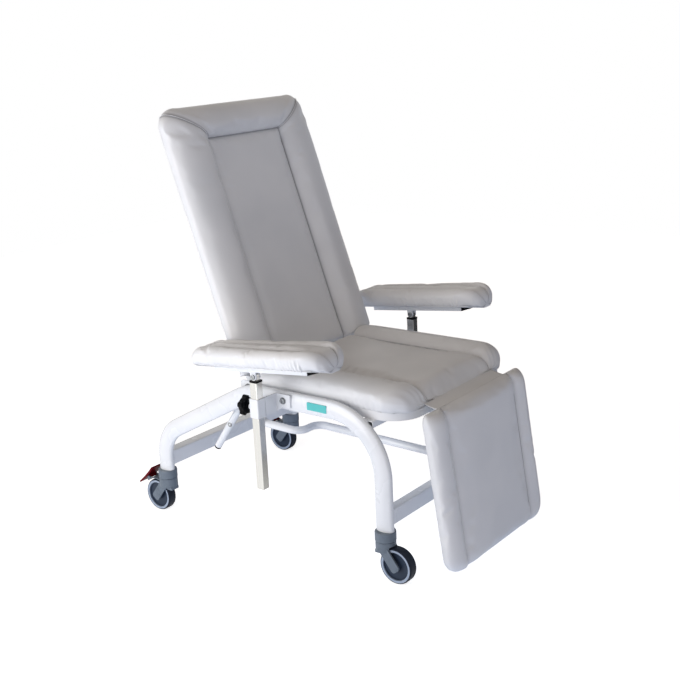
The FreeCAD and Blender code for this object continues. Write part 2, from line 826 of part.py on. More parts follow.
# Backrest
def pivot_plate(side):
    """A plate on the rail's inner side that carries the end of the backrest's shaft."""
    x_low = rail_inner_x - pivot_plate_thickness if side > 0 else -rail_inner_x
    half = pivot_plate_half
    points = rectangle(V(x_low, back_pivot_y, back_pivot_z - half / 4), V(0, 1, 0), half, V(0, 0, 1), half)
    plate = slab(points, [pivot_plate_corner] * len(points), V(pivot_plate_thickness, 0, 0))
    hole = across(-half_track, half_track, back_pivot_y, back_pivot_z, pivot_shaft_radius + running_clearance)
    return plate.cut(hole)


def pivot_shaft():
    half = rail_inner_x - running_clearance
    outer = across(-half, half, back_pivot_y, back_pivot_z, pivot_shaft_radius)
    return outer.cut(across(-half, half, back_pivot_y, back_pivot_z, pivot_shaft_radius - pivot_shaft_wall))


def back_place(n, u):
    """A point of the leaning backrest: n in front of its pivot, u up its slope."""
    lean = math.radians(back_tilt)
    y = back_pivot_y + u * math.sin(lean) - n * math.cos(lean)
    return V(0, y, back_pivot_z + u * math.cos(lean) + n * math.sin(lean))


def upright_middle_n():
    return back_board_back - upright_depth / 2


def behind_board(shape):
    """Cut a back-frame plate flush with the rear of the board, clear of the cushion's lower edge."""
    space = box(V(-half_track, back_board_back - back_cushion_thickness - overrun, back_bottom - side_plate_trim),
                V(half_track, -back_board_back, back_bottom + back_length))
    return shape.cut(tilted(space, back_tilt, back_pivot))


def back_side(side):
    """One upright of the back frame with its hub plate. The right one also has the link's crank."""
    middle = V(side * upright_x, -upright_middle_n(), upright_bottom)
    tube = square_tube(middle, middle + V(0, 0, upright_length), V(1, 0, 0), upright_width / 2,
                       V(0, 1, 0), upright_depth / 2, upright_corner, upright_wall)
    tube = tilted(tube, back_tilt, back_pivot)
    x_low = side_plate_x if side > 0 else -side_plate_x - side_plate_thickness
    foot = back_place(upright_middle_n(), upright_bottom + upright_width)
    plate = strap(back_pivot, side_plate_hub_radius, foot, side_plate_foot_radius, x_low, side_plate_thickness)
    plate = behind_board(plate)
    hub_low = side_plate_x - back_hub_length if side > 0 else -side_plate_x
    body = tube.fuse([plate, across(hub_low, hub_low + back_hub_length, back_pivot_y, back_pivot_z, back_hub_radius)])
    if side < 0:
        crank = strap(back_pivot, side_plate_hub_radius, rear_link_pin, side_plate_crank_radius, x_low, side_plate_thickness)
        pin_end = link_rear_x + link_bush_half + pin_head_length
        pin = across(x_low + running_clearance, pin_end, rear_link_pin.y, rear_link_pin.z, link_pin_radius)
        body = body.fuse([crank, pin])
    bore = across(-half_track, half_track, back_pivot_y, back_pivot_z, pivot_shaft_radius + running_clearance)
    return body.cut(bore).removeSplitter()


def back_cross(u, with_crank):
    """A cross tube of the back frame. The low one carries the gas spring's two crank plates."""
    half = upright_x - upright_width / 2
    start, end = V(-half, -upright_middle_n(), u), V(half, -upright_middle_n(), u)
    tube = square_tube(start, end, V(0, 0, 1), back_cross_height / 2, V(0, 1, 0), upright_depth / 2,
                       upright_corner, upright_wall)
    tube = tilted(tube, back_tilt, back_pivot)
    if not with_crank:
        return tube
    solid_tube = tilted(square_tube(start, end, V(0, 0, 1), back_cross_height / 2 - upright_wall,
                                    V(0, 1, 0), upright_depth / 2 - upright_wall,
                                    upright_corner - upright_wall, 0), back_tilt, back_pivot)
    foot = back_place(upright_middle_n() + upright_depth / 4, u - back_cross_height / 4)
    inward = (back_pivot - gas_rest_pin).normalize()
    slot_end = gas_rest_pin + inward * gas_slot_length
    for side in (-1, 1):
        x_low = gas_crank_plate_gap / 2 if side > 0 else -gas_crank_plate_gap / 2 - gas_crank_plate_thickness
        thick = gas_crank_plate_thickness
        web = strap(back_pivot, gas_crank_hub_radius, foot, gas_crank_plate_radius, x_low, thick)
        crank = strap(back_pivot, gas_crank_hub_radius, gas_rest_pin, gas_crank_plate_radius, x_low, thick)
        slot = strap(gas_rest_pin, gas_slot_half, slot_end, gas_slot_half - running_clearance / 2,
                     x_low - overrun, thick + 2 * overrun)
        tube = tube.fuse(behind_board(web.fuse(crank)).cut(slot).cut(solid_tube))
    bore = across(-half_track, half_track, back_pivot_y, back_pivot_z, pivot_shaft_radius + running_clearance)
    return tube.cut(bore).removeSplitter()


def back_board():
    low = back_bottom + back_board_inset
    high = back_bottom + back_length - back_board_inset
    half = back_board_half
    points = [V(-half, -back_board_back, low), V(half, -back_board_back, low),
              V(half, -back_board_back, high), V(-half, -back_board_back, high)]
    board = slab(points, [back_board_corner / 2] * 2 + [back_board_corner] * 2, V(0, -back_board_thickness, 0))
    return tilted(board, back_tilt, back_pivot)


def back_cushion():
    base = back_board_back + back_board_thickness
    shape = cushion(lambda s, x, n: V(x, -n, back_bottom + s), back_shares,
                    back_length, back_half_width, base, back_cushion_thickness)
    return tilted(shape, back_tilt, back_pivot)


# Link tube
def link_tube():
    """Tube from the backrest's crank to the legrest's lug, with a bush across each end."""
    rear, front = rear_link_pin, front_link_pin

    def height(y):
        return rear.z + (front.z - rear.z) * (rear.y - y) / (rear.y - front.y)

    points = [
        V(link_rear_x, rear.y, rear.z),
        V(link_rear_x, link_bend_y, height(link_bend_y)),
        V(link_front_x, link_bend_y, height(link_bend_y)),
        V(link_front_x, front.y, front.z),
    ]
    radii = [0, link_bend_radius, link_bend_radius, 0]
    first_way = (points[1] - points[0]).normalize()

    def run(radius):
        ring = Part.Wire(Part.Circle(points[0], first_way, radius).toShape())
        return bent_bar(ring, points, radii)

    tube = run(link_radius).cut(run(link_radius - link_wall))
    for x, pin in ((link_rear_x, rear), (link_front_x, front)):
        tube = tube.fuse(across(x - link_bush_half, x + link_bush_half, pin.y, pin.z, link_bush_radius))
        tube = tube.cut(across(x - link_bush_half - overrun, x + link_bush_half + overrun, pin.y, pin.z,
                               link_pin_radius + running_clearance))
    return largest_solid(tube.removeSplitter())


# Gas spring
def gas_way():
    return (gas_rest_pin - gas_anchor).normalize()


def gas_bracket():
    """Two ears under the front seat crossbar, with the pin of the gas spring's cylinder."""
    top = V(0, gas_anchor.y, seat_board_bottom - seat_bar_height)
    ears = []
    inner = gas_eye_half + loose_clearance
    for x_low in (inner, -inner - gas_crank_plate_thickness):
        ear = strap(gas_anchor, gas_ear_radius, V(0, top.y, top.z + gas_ear_radius), gas_ear_radius,
                    x_low, gas_crank_plate_thickness)
        ears.append(ear.cut(box(V(-arm_x, top.y - overrun, top.z), V(arm_x, top.y + overrun, top.z + 2 * overrun))))
    reach = inner + gas_crank_plate_thickness - running_clearance
    return ears + [across(-reach, reach, gas_anchor.y, gas_anchor.z, gas_pin_radius)]


def gas_cylinder():
    way = gas_way()
    start = gas_anchor + way * gas_cylinder_start
    end = start + way * gas_cylinder_length
    body = cylinder_between(start, end, gas_cylinder_radius)
    body = body.fuse(cylinder_between(end, end + way * gas_nose_length, gas_nose_radius))
    hollow = cylinder_between(start + way * gas_cylinder_bottom, end - way * gas_cylinder_bottom,
                              gas_cylinder_radius - gas_cylinder_wall)
    rod_hole = cylinder_between(start + way * gas_cylinder_bottom, end + way * overrun,
                                gas_rod_radius + running_clearance)
    neck = cylinder_between(gas_anchor, start + way * gas_cylinder_wall, gas_eye_half)
    eye = across(-gas_eye_half, gas_eye_half, gas_anchor.y, gas_anchor.z, gas_eye_radius)
    hole = across(-gas_eye_half - overrun, gas_eye_half + overrun, gas_anchor.y, gas_anchor.z,
                  gas_pin_radius + running_clearance)
    return body.cut(hollow).cut(rod_hole).fuse([neck, eye]).cut(hole).removeSplitter()


def gas_rod():
    way = gas_way()
    start = gas_anchor + way * (gas_cylinder_start + gas_cylinder_length - gas_rod_inside)
    rod = cylinder_between(start, gas_rest_pin, gas_rod_radius)
    eye = across(-gas_eye_half, gas_eye_half, gas_rest_pin.y, gas_rest_pin.z, gas_eye_radius)
    reach = gas_crank_plate_gap / 2 + gas_crank_plate_thickness + pin_head_length
    pin = across(-reach, reach, gas_rest_pin.y, gas_rest_pin.z, gas_pin_radius)
    return rod.fuse([eye, pin]).removeSplitter()


# Release lever
def lever_way():
    turn = math.radians(lever_angle)
    return V(0, math.sin(turn), -math.cos(turn))


def release_lever():
    way = lever_way()
    centre = V(-lever_x, back_pivot_y, back_pivot_z)
    tip = centre + way * lever_reach
    tube = cylinder_between(centre + way * pivot_shaft_radius, tip, lever_radius)
    hollow_start = centre + way * (lever_hub_radius + lever_wall)
    tube = tube.cut(cylinder_between(hollow_start, tip + way * overrun, lever_radius - lever_wall))
    hub = across(-lever_x - lever_radius, -lever_x + lever_radius, back_pivot_y, back_pivot_z, lever_hub_radius)
    bore = across(-half_track, 0, back_pivot_y, back_pivot_z, pivot_shaft_radius + running_clearance)
    return tube.fuse(hub).cut(bore).removeSplitter()


def lever_cap():
    way = lever_way()
    tip = V(-lever_x, back_pivot_y, back_pivot_z) + way * lever_reach
    cap = cylinder_between(tip, tip + way * (lever_cap_length - lever_cap_edge), lever_radius)
    nose = Part.makeCone(lever_radius, lever_radius - lever_cap_edge, lever_cap_edge,
                         tip + way * (lever_cap_length - lever_cap_edge), way)
    plug_radius = lever_radius - lever_wall - running_clearance
    return cap.fuse([nose, cylinder_between(tip - way * lever_cap_plug, tip, plug_radius)]).removeSplitter()


# Legrest
def hinge_bracket(side):
    """A plate under the seat board's front edge that carries the legrest's shaft."""
    x_low = hinge_bracket_x if side > 0 else -hinge_bracket_x - hinge_bracket_thickness
    top, low = seat_board_bottom, seat_board_bottom - hinge_foot_height
    boss = V(x_low, leg_pivot_y, leg_pivot_z)
    front = leg_pivot_y + hinge_boss_radius
    points = [
        V(x_low, hinge_foot_rear, top), V(x_low, hinge_foot_rear, low),
        V(x_low, leg_pivot_y, low), V(x_low, leg_pivot_y - hinge_boss_radius, leg_pivot_z),
        V(x_low, front, leg_pivot_z), V(x_low, front, top),
    ]
    plate = slab(points, [0, hinge_foot_corner, hinge_foot_corner, 0, 0, 0], V(hinge_bracket_thickness, 0, 0))
    plate = plate.fuse(across(x_low, x_low + hinge_bracket_thickness, boss.y, boss.z, hinge_boss_radius))
    bore = across(-half_track, half_track, boss.y, boss.z, leg_shaft_radius + running_clearance)
    return plate.cut(bore).removeSplitter()


def leg_place(n, d):
    """A point of the leaning legrest: n in front of its pivot, d down its slope."""
    lean = math.radians(leg_tilt)
    y = leg_pivot_y - d * math.sin(lean) - n * math.cos(lean)
    return V(0, y, leg_pivot_z - d * math.cos(lean) + n * math.sin(lean))


def leg_frame():
    """Pressed plate behind the legrest's board, with its hinge shaft and the link's lugs."""
    half, low = leg_plate_half, -leg_plate_length
    back = leg_board_back - leg_plate_thickness
    points = [V(-half, -back, low), V(half, -back, low), V(half, -back, -leg_plate_top), V(-half, -back, -leg_plate_top)]
    plate = slab(points, [leg_plate_corner] * 2 + [hinge_foot_corner] * 2, V(0, -leg_plate_thickness, 0))
    body = tilted(plate, leg_tilt, leg_pivot)
    pieces = [across(-leg_shaft_half, leg_shaft_half, leg_pivot_y, leg_pivot_z, leg_shaft_radius)]
    foot = leg_place(back + leg_plate_thickness / 2, leg_knuckle_radius + leg_plate_top)
    for side in (-1, 1):
        x_low = side * leg_knuckle_x - leg_knuckle_half
        pieces.append(strap(leg_pivot, leg_knuckle_radius, foot, leg_plate_thickness / 2, x_low, 2 * leg_knuckle_half))
    lug_foot_depth = crank_length * math.cos(math.radians(leg_tilt))
    lug_foot = leg_place(back, lug_foot_depth)
    inner = link_bush_half + loose_clearance
    for x_low in (link_front_x + inner, link_front_x - inner - leg_lug_thickness):
        lug = strap(front_link_pin, leg_lug_radius, lug_foot, leg_lug_radius * 2, x_low, leg_lug_thickness)
        pieces.append(lug)
    reach = inner + leg_lug_thickness - running_clearance
    pieces.append(across(link_front_x - reach, link_front_x + reach, front_link_pin.y, front_link_pin.z, link_pin_radius))
    body = body.fuse(pieces)
    in_front = box(V(-half_track, -leg_board_back - leg_length, -2 * leg_length),
                   V(half_track, -leg_board_back, leg_length))
    return largest_solid(body.cut(tilted(in_front, leg_tilt, leg_pivot)).removeSplitter())


def leg_board():
    high = leg_top - leg_board_inset
    low = leg_top - leg_length + leg_board_inset
    half = leg_board_half
    points = [V(-half, -leg_board_back, low), V(half, -leg_board_back, low),
              V(half, -leg_board_back, high), V(-half, -leg_board_back, high)]
    radii = [leg_board_corner] * 2 + [leg_board_inset] * 2
    board = slab(points, radii, V(0, -leg_board_thickness, 0))
    return tilted(board, leg_tilt, leg_pivot)


def leg_cushion():
    base = leg_board_back + leg_board_thickness
    shape = cushion(lambda s, x, n: V(x, -n, leg_top - s), leg_shares,
                    leg_length, leg_half_width, base, leg_cushion_thickness)
    return tilted(shape, leg_tilt, leg_pivot)


# Armrests
def arm_bracket(side):
    """Square sleeve for the post, welded to a bent plate that is bolted to the rail."""
    x = side * arm_x
    bottom = V(x, post_y, sleeve_bottom)
    top = bottom + V(0, 0, sleeve_height)
    sleeve = square_tube(bottom, top, V(1, 0, 0), sleeve_half, V(0, 1, 0), sleeve_half, sleeve_corner, sleeve_wall)
    front = post_y - sleeve_half
    thick = arm_bracket_thickness
    near_x, far_x = sorted((side * (arm_x - sleeve_half), side * rail_outer_x))
    web = box(V(near_x, front, sleeve_bottom), V(far_x, front + thick, sleeve_bottom + sleeve_height))
    plate_x = rail_outer_x if side > 0 else -rail_outer_x - thick
    high = sleeve_bottom + sleeve_height
    points = [
        V(plate_x, front + thick, sleeve_bottom), V(plate_x, front + thick, high),
        V(plate_x, front - arm_bracket_reach, high), V(plate_x, front - arm_bracket_reach, arm_bracket_low),
        V(plate_x, front - arm_bracket_taper, arm_bracket_low), V(plate_x, front, sleeve_bottom),
    ]
    corner = arm_bracket_corner
    plate = slab(points, [0, 0, corner, corner, corner, 0], V(thick, 0, 0))
    boss_start = post_y + sleeve_half - sleeve_wall / 2
    boss = cylinder_between(V(x, boss_start, knob_z()), V(x, post_y + sleeve_half + knob_boss_length, knob_z()),
                            knob_boss_radius)
    boss = boss.cut(box(V(x - post_width, post_y, 0), V(x + post_width, boss_start, post_top)))
    body = sleeve.fuse([web, plate, boss])
    thread = cylinder_between(V(x, post_y, knob_z()), V(x, post_y + sleeve_half + knob_boss_length + overrun, knob_z()),
                              knob_stud_radius + running_clearance)
    hole = across(plate_x - overrun, plate_x + thick + overrun, bracket_bolt_y(), bracket_bolt_z(),
                  bolt_radius + bolt_clearance)
    hole = hole.common(box(V(plate_x - running_clearance, bracket_bolt_y() - overrun, sleeve_bottom),
                           V(plate_x + thick + running_clearance, bracket_bolt_y() + overrun, high)))
    return largest_solid(body.cut(thread).cut(hole).removeSplitter())


def knob_z():
    return sleeve_bottom + sleeve_height / 2


def bracket_bolt(side):
    head_x = side * (rail_outer_x + arm_bracket_thickness)
    way = V(side, 0, 0)
    centre = V(head_x, bracket_bolt_y(), bracket_bolt_z())
    head = cylinder_between(centre, centre + way * bolt_head_height, bolt_head_radius)
    shank = cylinder_between(centre - way * bolt_length, centre, bolt_radius)
    return head.fuse(shank).removeSplitter()


def arm_post(side):
    """Square tube with a block at its top that narrows to a tongue for the tilt bolt."""
    x = side * arm_x
    half = post_width / 2
    bottom, top = V(x, post_y, post_bottom), V(x, post_y, post_top)
    tube = square_tube(bottom, top, V(1, 0, 0), half, V(0, 1, 0), half, post_corner, post_wall)
    block_top = post_top - cap_plug_depth - loose_clearance
    block = box(V(x - half + post_wall, post_y - half + post_wall, block_top - tongue_block_depth),
                V(x + half - post_wall, post_y + half - post_wall, block_top))
    low = V(0, post_y, block_top + tongue_width / 2)
    tongue = strap(V(0, post_y, tilt_pivot_z), tongue_width / 2, low, tongue_width / 2 - running_clearance,
                   x - tongue_half_thickness, 2 * tongue_half_thickness)
    root = box(V(x - tongue_half_thickness, post_y - tongue_width / 2, block_top - tongue_block_depth / 2),
               V(x + tongue_half_thickness, post_y + tongue_width / 2, block_top + tongue_width / 2))
    bore = across(x - half, x + half, post_y, tilt_pivot_z, tilt_bolt_radius + running_clearance)
    return tube.fuse([block, root, tongue]).cut(bore).removeSplitter()


def post_cap(side):
    """Black plug in the top of the post, with a slot for the tongue."""
    x = side * arm_x
    outer = post_width / 2 + cap_overhang
    inner = post_width / 2 - post_wall - running_clearance
    rim = rectangle(V(x, post_y, post_top), V(1, 0, 0), outer, V(0, 1, 0), outer)
    flange = slab(rim, [post_corner] * len(rim), V(0, 0, cap_flange))
    foot = rectangle(V(x, post_y, post_top - cap_plug_depth), V(1, 0, 0), inner, V(0, 1, 0), inner)
    plug = slab(foot, [post_corner / 2] * len(foot), V(0, 0, cap_plug_depth))
    gap = slide_clearance
    slot = box(V(x - tongue_half_thickness - gap, post_y - tongue_width / 2 - gap, post_bottom),
               V(x + tongue_half_thickness + gap, post_y + tongue_width / 2 + gap, tilt_pivot_z))
    return flange.fuse(plug).cut(slot).removeSplitter()


def arm_placed(shape, side):
    return tilted(shape, tilt_angle, V(side * arm_x, arm_pivot_y, tilt_pivot_z))


def arm_bar(side):
    """Flat tube under the pad with the two ears that straddle the post's tongue."""
    half = arm_bar_width / 2
    middle = arm_bar_bottom + arm_bar_height / 2
    start, end = V(0, arm_bar_rear, middle), V(0, -arm_bar_front, middle)
    tube = square_tube(start, end, V(1, 0, 0), half, V(0, 0, 1), arm_bar_height / 2, arm_bar_corner, arm_bar_wall)
    close = box(V(-half + arm_bar_wall / 2, arm_bar_rear - arm_bar_wall, arm_bar_bottom + arm_bar_wall / 2),
                V(half - arm_bar_wall / 2, arm_bar_rear, arm_bar_bottom + arm_bar_height - arm_bar_wall / 2))
    inner = tongue_half_thickness + ear_gap
    pieces = [close]
    for x_low in (inner, -inner - ear_thickness):
        ear = strap(V(0, 0, 0), ear_half_width, V(0, 0, arm_bar_bottom), ear_half_width - running_clearance,
                    x_low, ear_thickness)
        pieces.append(ear.cut(box(V(-half, -half, arm_bar_bottom), V(half, half, post_top))))
    body = tube.fuse(pieces)
    hole = across(-arm_x, arm_x, 0, 0, tilt_bolt_radius + running_clearance)
    return arm_placed(body.cut(hole).removeSplitter(), side)


def arm_bar_cap(side):
    """Black wedge that closes the slanting front end of the bar."""
    half = arm_bar_width / 2
    front = -arm_bar_front
    top = arm_bar_bottom + arm_bar_height
    points = [
        V(-half, front, arm_bar_bottom), V(-half, front - arm_cap_length, top - arm_cap_end_height),
        V(-half, front - arm_cap_length, top), V(-half, front, top),
    ]
    wedge = slab(points, [0, 0, 0, 0], V(arm_bar_width, 0, 0))
    gap = arm_bar_wall + running_clearance
    middle = (arm_bar_bottom + top) / 2
    plug = square_tube(V(0, front, middle), V(0, front + arm_cap_plug, middle), V(1, 0, 0), half - gap,
                       V(0, 0, 1), arm_bar_height / 2 - gap, arm_bar_corner / 2, 0)
    return arm_placed(wedge.fuse(plug).removeSplitter(), side)


def tilt_bolt(side):
    """Bolt through the ears and the tongue, with its head on the right-hand side."""
    reach = tongue_half_thickness + ear_gap + ear_thickness
    shank = across(-reach, reach + tilt_head_height / 2, 0, 0, tilt_bolt_radius)
    head = across(-reach - tilt_head_height, -reach, 0, 0, tilt_head_radius)
    return arm_placed(shank.fuse(head).removeSplitter(), side)


def arm_board(side):
    base = arm_bar_bottom + arm_bar_height
    points = [
        V(-arm_board_rear_half, arm_board_rear, base), V(-arm_board_front_half, -arm_board_widest, base),
        V(-arm_board_front_half, -arm_board_front, base), V(arm_board_front_half, -arm_board_front, base),
        V(arm_board_front_half, -arm_board_widest, base), V(arm_board_rear_half, arm_board_rear, base),
    ]
    rear, front, bend = arm_board_rear_corner, arm_board_front_corner, arm_board_side_corner
    board = slab(points, [rear, bend, front, front, bend, rear], V(0, 0, arm_board_thickness))
    return arm_placed(board, side)


def arm_pad(side):
    base = arm_bar_bottom + arm_bar_height + arm_board_thickness
    shape = cushion(lambda s, x, h: V(x, arm_pad_rear - s, h), arm_shares,
                    arm_pad_length, arm_pad_half_width, base, arm_pad_thickness)
    return arm_placed(shape, side)


def arm_knob(side):
    """Star knob with rounded lobes on a threaded stud that presses on the post."""
    x = side * arm_x
    boss_end = post_y + sleeve_half + knob_boss_length
    start = boss_end + knob_gap
    neck_end = start + knob_neck_length
    way = V(0, 1, 0)
    core = cylinder_between(V(x, neck_end, knob_z()), V(x, neck_end + knob_thickness, knob_z()), knob_core_radius)
    lobes = []
    for i in range(knob_lobe_count):
        turn = 2 * math.pi * i / knob_lobe_count
        reach = knob_radius - knob_lobe_radius
        centre = V(x + reach * math.sin(turn), neck_end + knob_edge, knob_z() + reach * math.cos(turn))
        lobes.append(cylinder_between(centre, centre + way * (knob_thickness - 2 * knob_edge), knob_lobe_radius))
    neck = cylinder_between(V(x, start, knob_z()), V(x, neck_end, knob_z()), knob_neck_radius)
    stud_start = post_y + post_width / 2 + slide_clearance
    stud = cylinder_between(V(x, stud_start, knob_z()), V(x, neck_end, knob_z()), knob_stud_radius)
    return core.fuse(lobes + [neck, stud]).removeSplitter()


def build():
    """All the pieces by name, each a list of solids, still with y zero on the rear castors' axis."""
    pieces = {}
    rail_solids = []
    for side, name in ((-1, "right"), (1, "left")):
        outer, tube = side_rail(side)
        rail_solids.append(outer)
        pieces["side_rail_" + name] = [tube]
    pieces["front_crossbar"] = [crossbar(-wheelbase, front_bar_bottom, front_bar_height, front_bar_depth, half_track, rail_solids)]
    pieces["rear_crossbar"] = [crossbar(0, rear_bar_bottom, rear_bar_height, rear_bar_depth, half_track, rail_solids)]
    seat_bar_bottom = seat_board_bottom - seat_bar_height
    seat_bar_reach = half_track - rail_width / 4
    front_bar = crossbar(front_seat_bar_y, seat_bar_bottom, seat_bar_height, seat_bar_depth, seat_bar_reach, rail_solids)
    rear_bar = crossbar(rear_seat_bar_y, seat_bar_bottom, seat_bar_height, seat_bar_depth, seat_bar_reach, rail_solids)
    pieces["seat_crossbar_front"] = [largest_solid(front_bar.fuse(gas_bracket()).removeSplitter())]
    pieces["seat_crossbar_rear"] = [rear_bar]
    pieces["back_pivot_shaft"] = [pivot_shaft()]
    pieces["back_pivot_plates"] = [pivot_plate(-1), pivot_plate(1)]
    pieces["seat_board"] = [seat_board()]
    pieces["seat_cushion"] = [cushion(lambda s, x, h: V(x, seat_rear - s, h), seat_shares,
                                      seat_rear - seat_front, seat_half_width, seat_board_top,
                                      seat_cushion_thickness)]
    pieces["leg_hinge_brackets"] = [hinge_bracket(-1), hinge_bracket(1)]
    pieces["back_cushion"] = [back_cushion()]
    pieces["back_board"] = [back_board()]
    pieces["back_cross_upper"] = [back_cross(back_cross_high, False)]
    pieces["back_cross_lower"] = [back_cross(back_cross_low, True)]
    pieces["link_tube"] = [link_tube()]
    pieces["gas_cylinder"] = [gas_cylinder()]
    pieces["gas_rod"] = [gas_rod()]
    pieces["release_lever"] = [release_lever()]
    pieces["release_lever_cap"] = [lever_cap()]
    pieces["leg_frame"] = [leg_frame()]
    pieces["leg_board"] = [leg_board()]
    pieces["leg_cushion"] = [leg_cushion()]
    pieces["bracket_bolts"] = [bracket_bolt(-1), bracket_bolt(1)]
    collars = []
    shared = {"wheel": wheel_solid(), "tyre": tyre_solid()}
    forks = {True: fork_solid(False), False: fork_solid(True)}
    pedal, collar = pedal_solid(), collar_solid()
    for front, end in ((True, "front"), (False, "rear")):
        for side, name in ((-1, "right"), (1, "left")):
            place = end + "_" + name
            collars.append(placed_castor(collar, side, front))
            pieces["castor_fork_" + place] = [placed_castor(forks[front], side, front)]
            for part_name, solid in shared.items():
                pieces["castor_" + part_name + "_" + place] = [placed_castor(solid, side, front)]
            if not front:
                pieces["brake_pedal_" + name] = [placed_castor(pedal, side, front)]
    pieces["castor_collars"] = collars
    for side, name in ((-1, "right"), (1, "left")):
        pieces["back_side_" + name] = [back_side(side)]
        pieces["arm_bracket_" + name] = [arm_bracket(side)]
        pieces["arm_post_" + name] = [arm_post(side)]
        pieces["arm_post_cap_" + name] = [post_cap(side)]
        pieces["arm_bar_" + name] = [arm_bar(side)]
        pieces["arm_bar_cap_" + name] = [arm_bar_cap(side)]
        pieces["arm_tilt_bolt_" + name] = [tilt_bolt(side)]
        pieces["arm_board_" + name] = [arm_board(side)]
        pieces["arm_pad_" + name] = [arm_pad(side)]
        pieces["arm_knob_" + name] = [arm_knob(side)]
    return pieces


def middle_of_length(pieces):
    """Halfway between the foremost and the rearmost point of the whole chair."""
    boxes = [solid.optimalBoundingBox(False) for solids in pieces.values() for solid in solids]
    return (min(b.YMin for b in boxes) + max(b.YMax for b in boxes)) / 2


pieces = build()
length_middle = middle_of_length(pieces)
os.makedirs("parts", exist_ok=True)
for name, solids in pieces.items():
    moved = [solid.translated(V(0, -length_middle, 0)) for solid in solids]
    shape = moved[0] if len(moved) == 1 else Part.makeCompound(moved)
    shape.exportStep("parts/" + name + ".step")
print("pieces", len(pieces), "length middle", round(length_middle, 3))
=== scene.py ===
import json
import math

import bmesh
import bpy
import numpy as np
from mathutils import Matrix, Vector
from mathutils.kdtree import KDTree


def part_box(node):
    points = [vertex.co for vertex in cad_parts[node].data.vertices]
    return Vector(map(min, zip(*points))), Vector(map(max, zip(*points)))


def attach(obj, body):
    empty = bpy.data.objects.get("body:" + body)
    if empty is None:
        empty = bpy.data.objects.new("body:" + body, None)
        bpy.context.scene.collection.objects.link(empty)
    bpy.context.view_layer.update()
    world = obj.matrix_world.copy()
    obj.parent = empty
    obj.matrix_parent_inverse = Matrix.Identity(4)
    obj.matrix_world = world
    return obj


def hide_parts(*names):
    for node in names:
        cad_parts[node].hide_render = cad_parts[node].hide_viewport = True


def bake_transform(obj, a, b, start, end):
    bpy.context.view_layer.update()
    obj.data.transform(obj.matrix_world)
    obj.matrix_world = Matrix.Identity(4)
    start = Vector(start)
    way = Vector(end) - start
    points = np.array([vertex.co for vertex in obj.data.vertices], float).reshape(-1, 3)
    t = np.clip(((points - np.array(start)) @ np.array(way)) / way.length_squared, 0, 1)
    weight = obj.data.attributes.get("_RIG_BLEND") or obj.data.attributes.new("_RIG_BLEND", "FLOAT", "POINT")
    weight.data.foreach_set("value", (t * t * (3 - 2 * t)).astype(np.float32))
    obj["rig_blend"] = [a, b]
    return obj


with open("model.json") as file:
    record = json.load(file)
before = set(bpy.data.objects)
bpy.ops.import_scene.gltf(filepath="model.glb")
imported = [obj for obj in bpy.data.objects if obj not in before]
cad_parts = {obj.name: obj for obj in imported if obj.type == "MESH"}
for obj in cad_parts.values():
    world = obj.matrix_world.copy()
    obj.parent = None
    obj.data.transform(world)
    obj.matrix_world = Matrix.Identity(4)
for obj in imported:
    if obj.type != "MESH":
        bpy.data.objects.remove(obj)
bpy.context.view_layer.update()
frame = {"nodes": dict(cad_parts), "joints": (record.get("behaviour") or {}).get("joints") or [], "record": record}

scene = bpy.context.scene
scene.view_settings.view_transform = "Standard"
joints = {joint["name"]: joint for joint in frame["joints"]}
slotOf = {part["node"]: part["material_slot"] for part in frame["record"]["subparts"]}


def jointPlace(name):
    return np.array(joints[name]["pos_m"], float)


def boxOf(node):
    low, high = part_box(node)
    return np.array(low, float), np.array(high, float)


backPivot = jointPlace("back_recline")
legPivot = jointPlace("leg_raise")
layout = {"pivotAhead": 0.350}  # from the rear castors' axis to the backrest's pivot
axisShift = backPivot[1] + layout["pivotAhead"]  # the rear castors' axis in the frame's own y


# The camera that was fitted to the photograph
camera = {
    "place": (-2.4901, -2.4433, 1.4368),  # y is measured from the rear castors' axis
    "yaw": 38.42,  # degrees from +X towards +Y
    "pitch": 15.74,  # degrees down
    "roll": -2.77,
    "lens": 59.66,
    "sensor": 36.0,
}


def makeCamera():
    yaw, pitch, roll = (math.radians(camera[key]) for key in ("yaw", "pitch", "roll"))
    way = Vector((math.cos(yaw) * math.cos(pitch), math.sin(yaw) * math.cos(pitch), -math.sin(pitch)))
    level = Vector((math.sin(yaw), -math.cos(yaw), 0))
    over = level.cross(way)
    right = level * math.cos(roll) + over * math.sin(roll)
    up = over * math.cos(roll) - level * math.sin(roll)
    data = bpy.data.cameras.new("photoCamera")
    data.lens = camera["lens"]
    data.sensor_width = camera["sensor"]
    eye = bpy.data.objects.new("photoCamera", data)
    place = Vector(camera["place"]) + Vector((0, axisShift, 0))
    eye.matrix_world = Matrix.Translation(place) @ Matrix((right, up, -way)).transposed().to_4x4()
    scene.collection.objects.link(eye)
    scene.camera = eye


makeCamera()
print("camera placed")


# Shader tools
def shaderNode(tree, kind, inputs=None, **settings):
    node = tree.nodes.new("ShaderNode" + kind)
    for name, value in settings.items():
        setattr(node, name, value)
    for name, value in (inputs or {}).items():
        if isinstance(value, bpy.types.NodeSocket):
            tree.links.new(value, node.inputs[name])
        else:
            node.inputs[name].default_value = value
    return node


def newMaterial(name, **principled):
    material = bpy.data.materials.new(name)
    material.use_nodes = True
    tree = material.node_tree
    bsdf = tree.nodes["Principled BSDF"]
    for label, value in principled.items():
        bsdf.inputs[label.replace("_", " ")].default_value = value
    return material, tree, bsdf


def objectPoint(tree):
    return shaderNode(tree, "TexCoord").outputs["Object"]


def colour(red, green, blue):
    return (red, green, blue, 1.0)


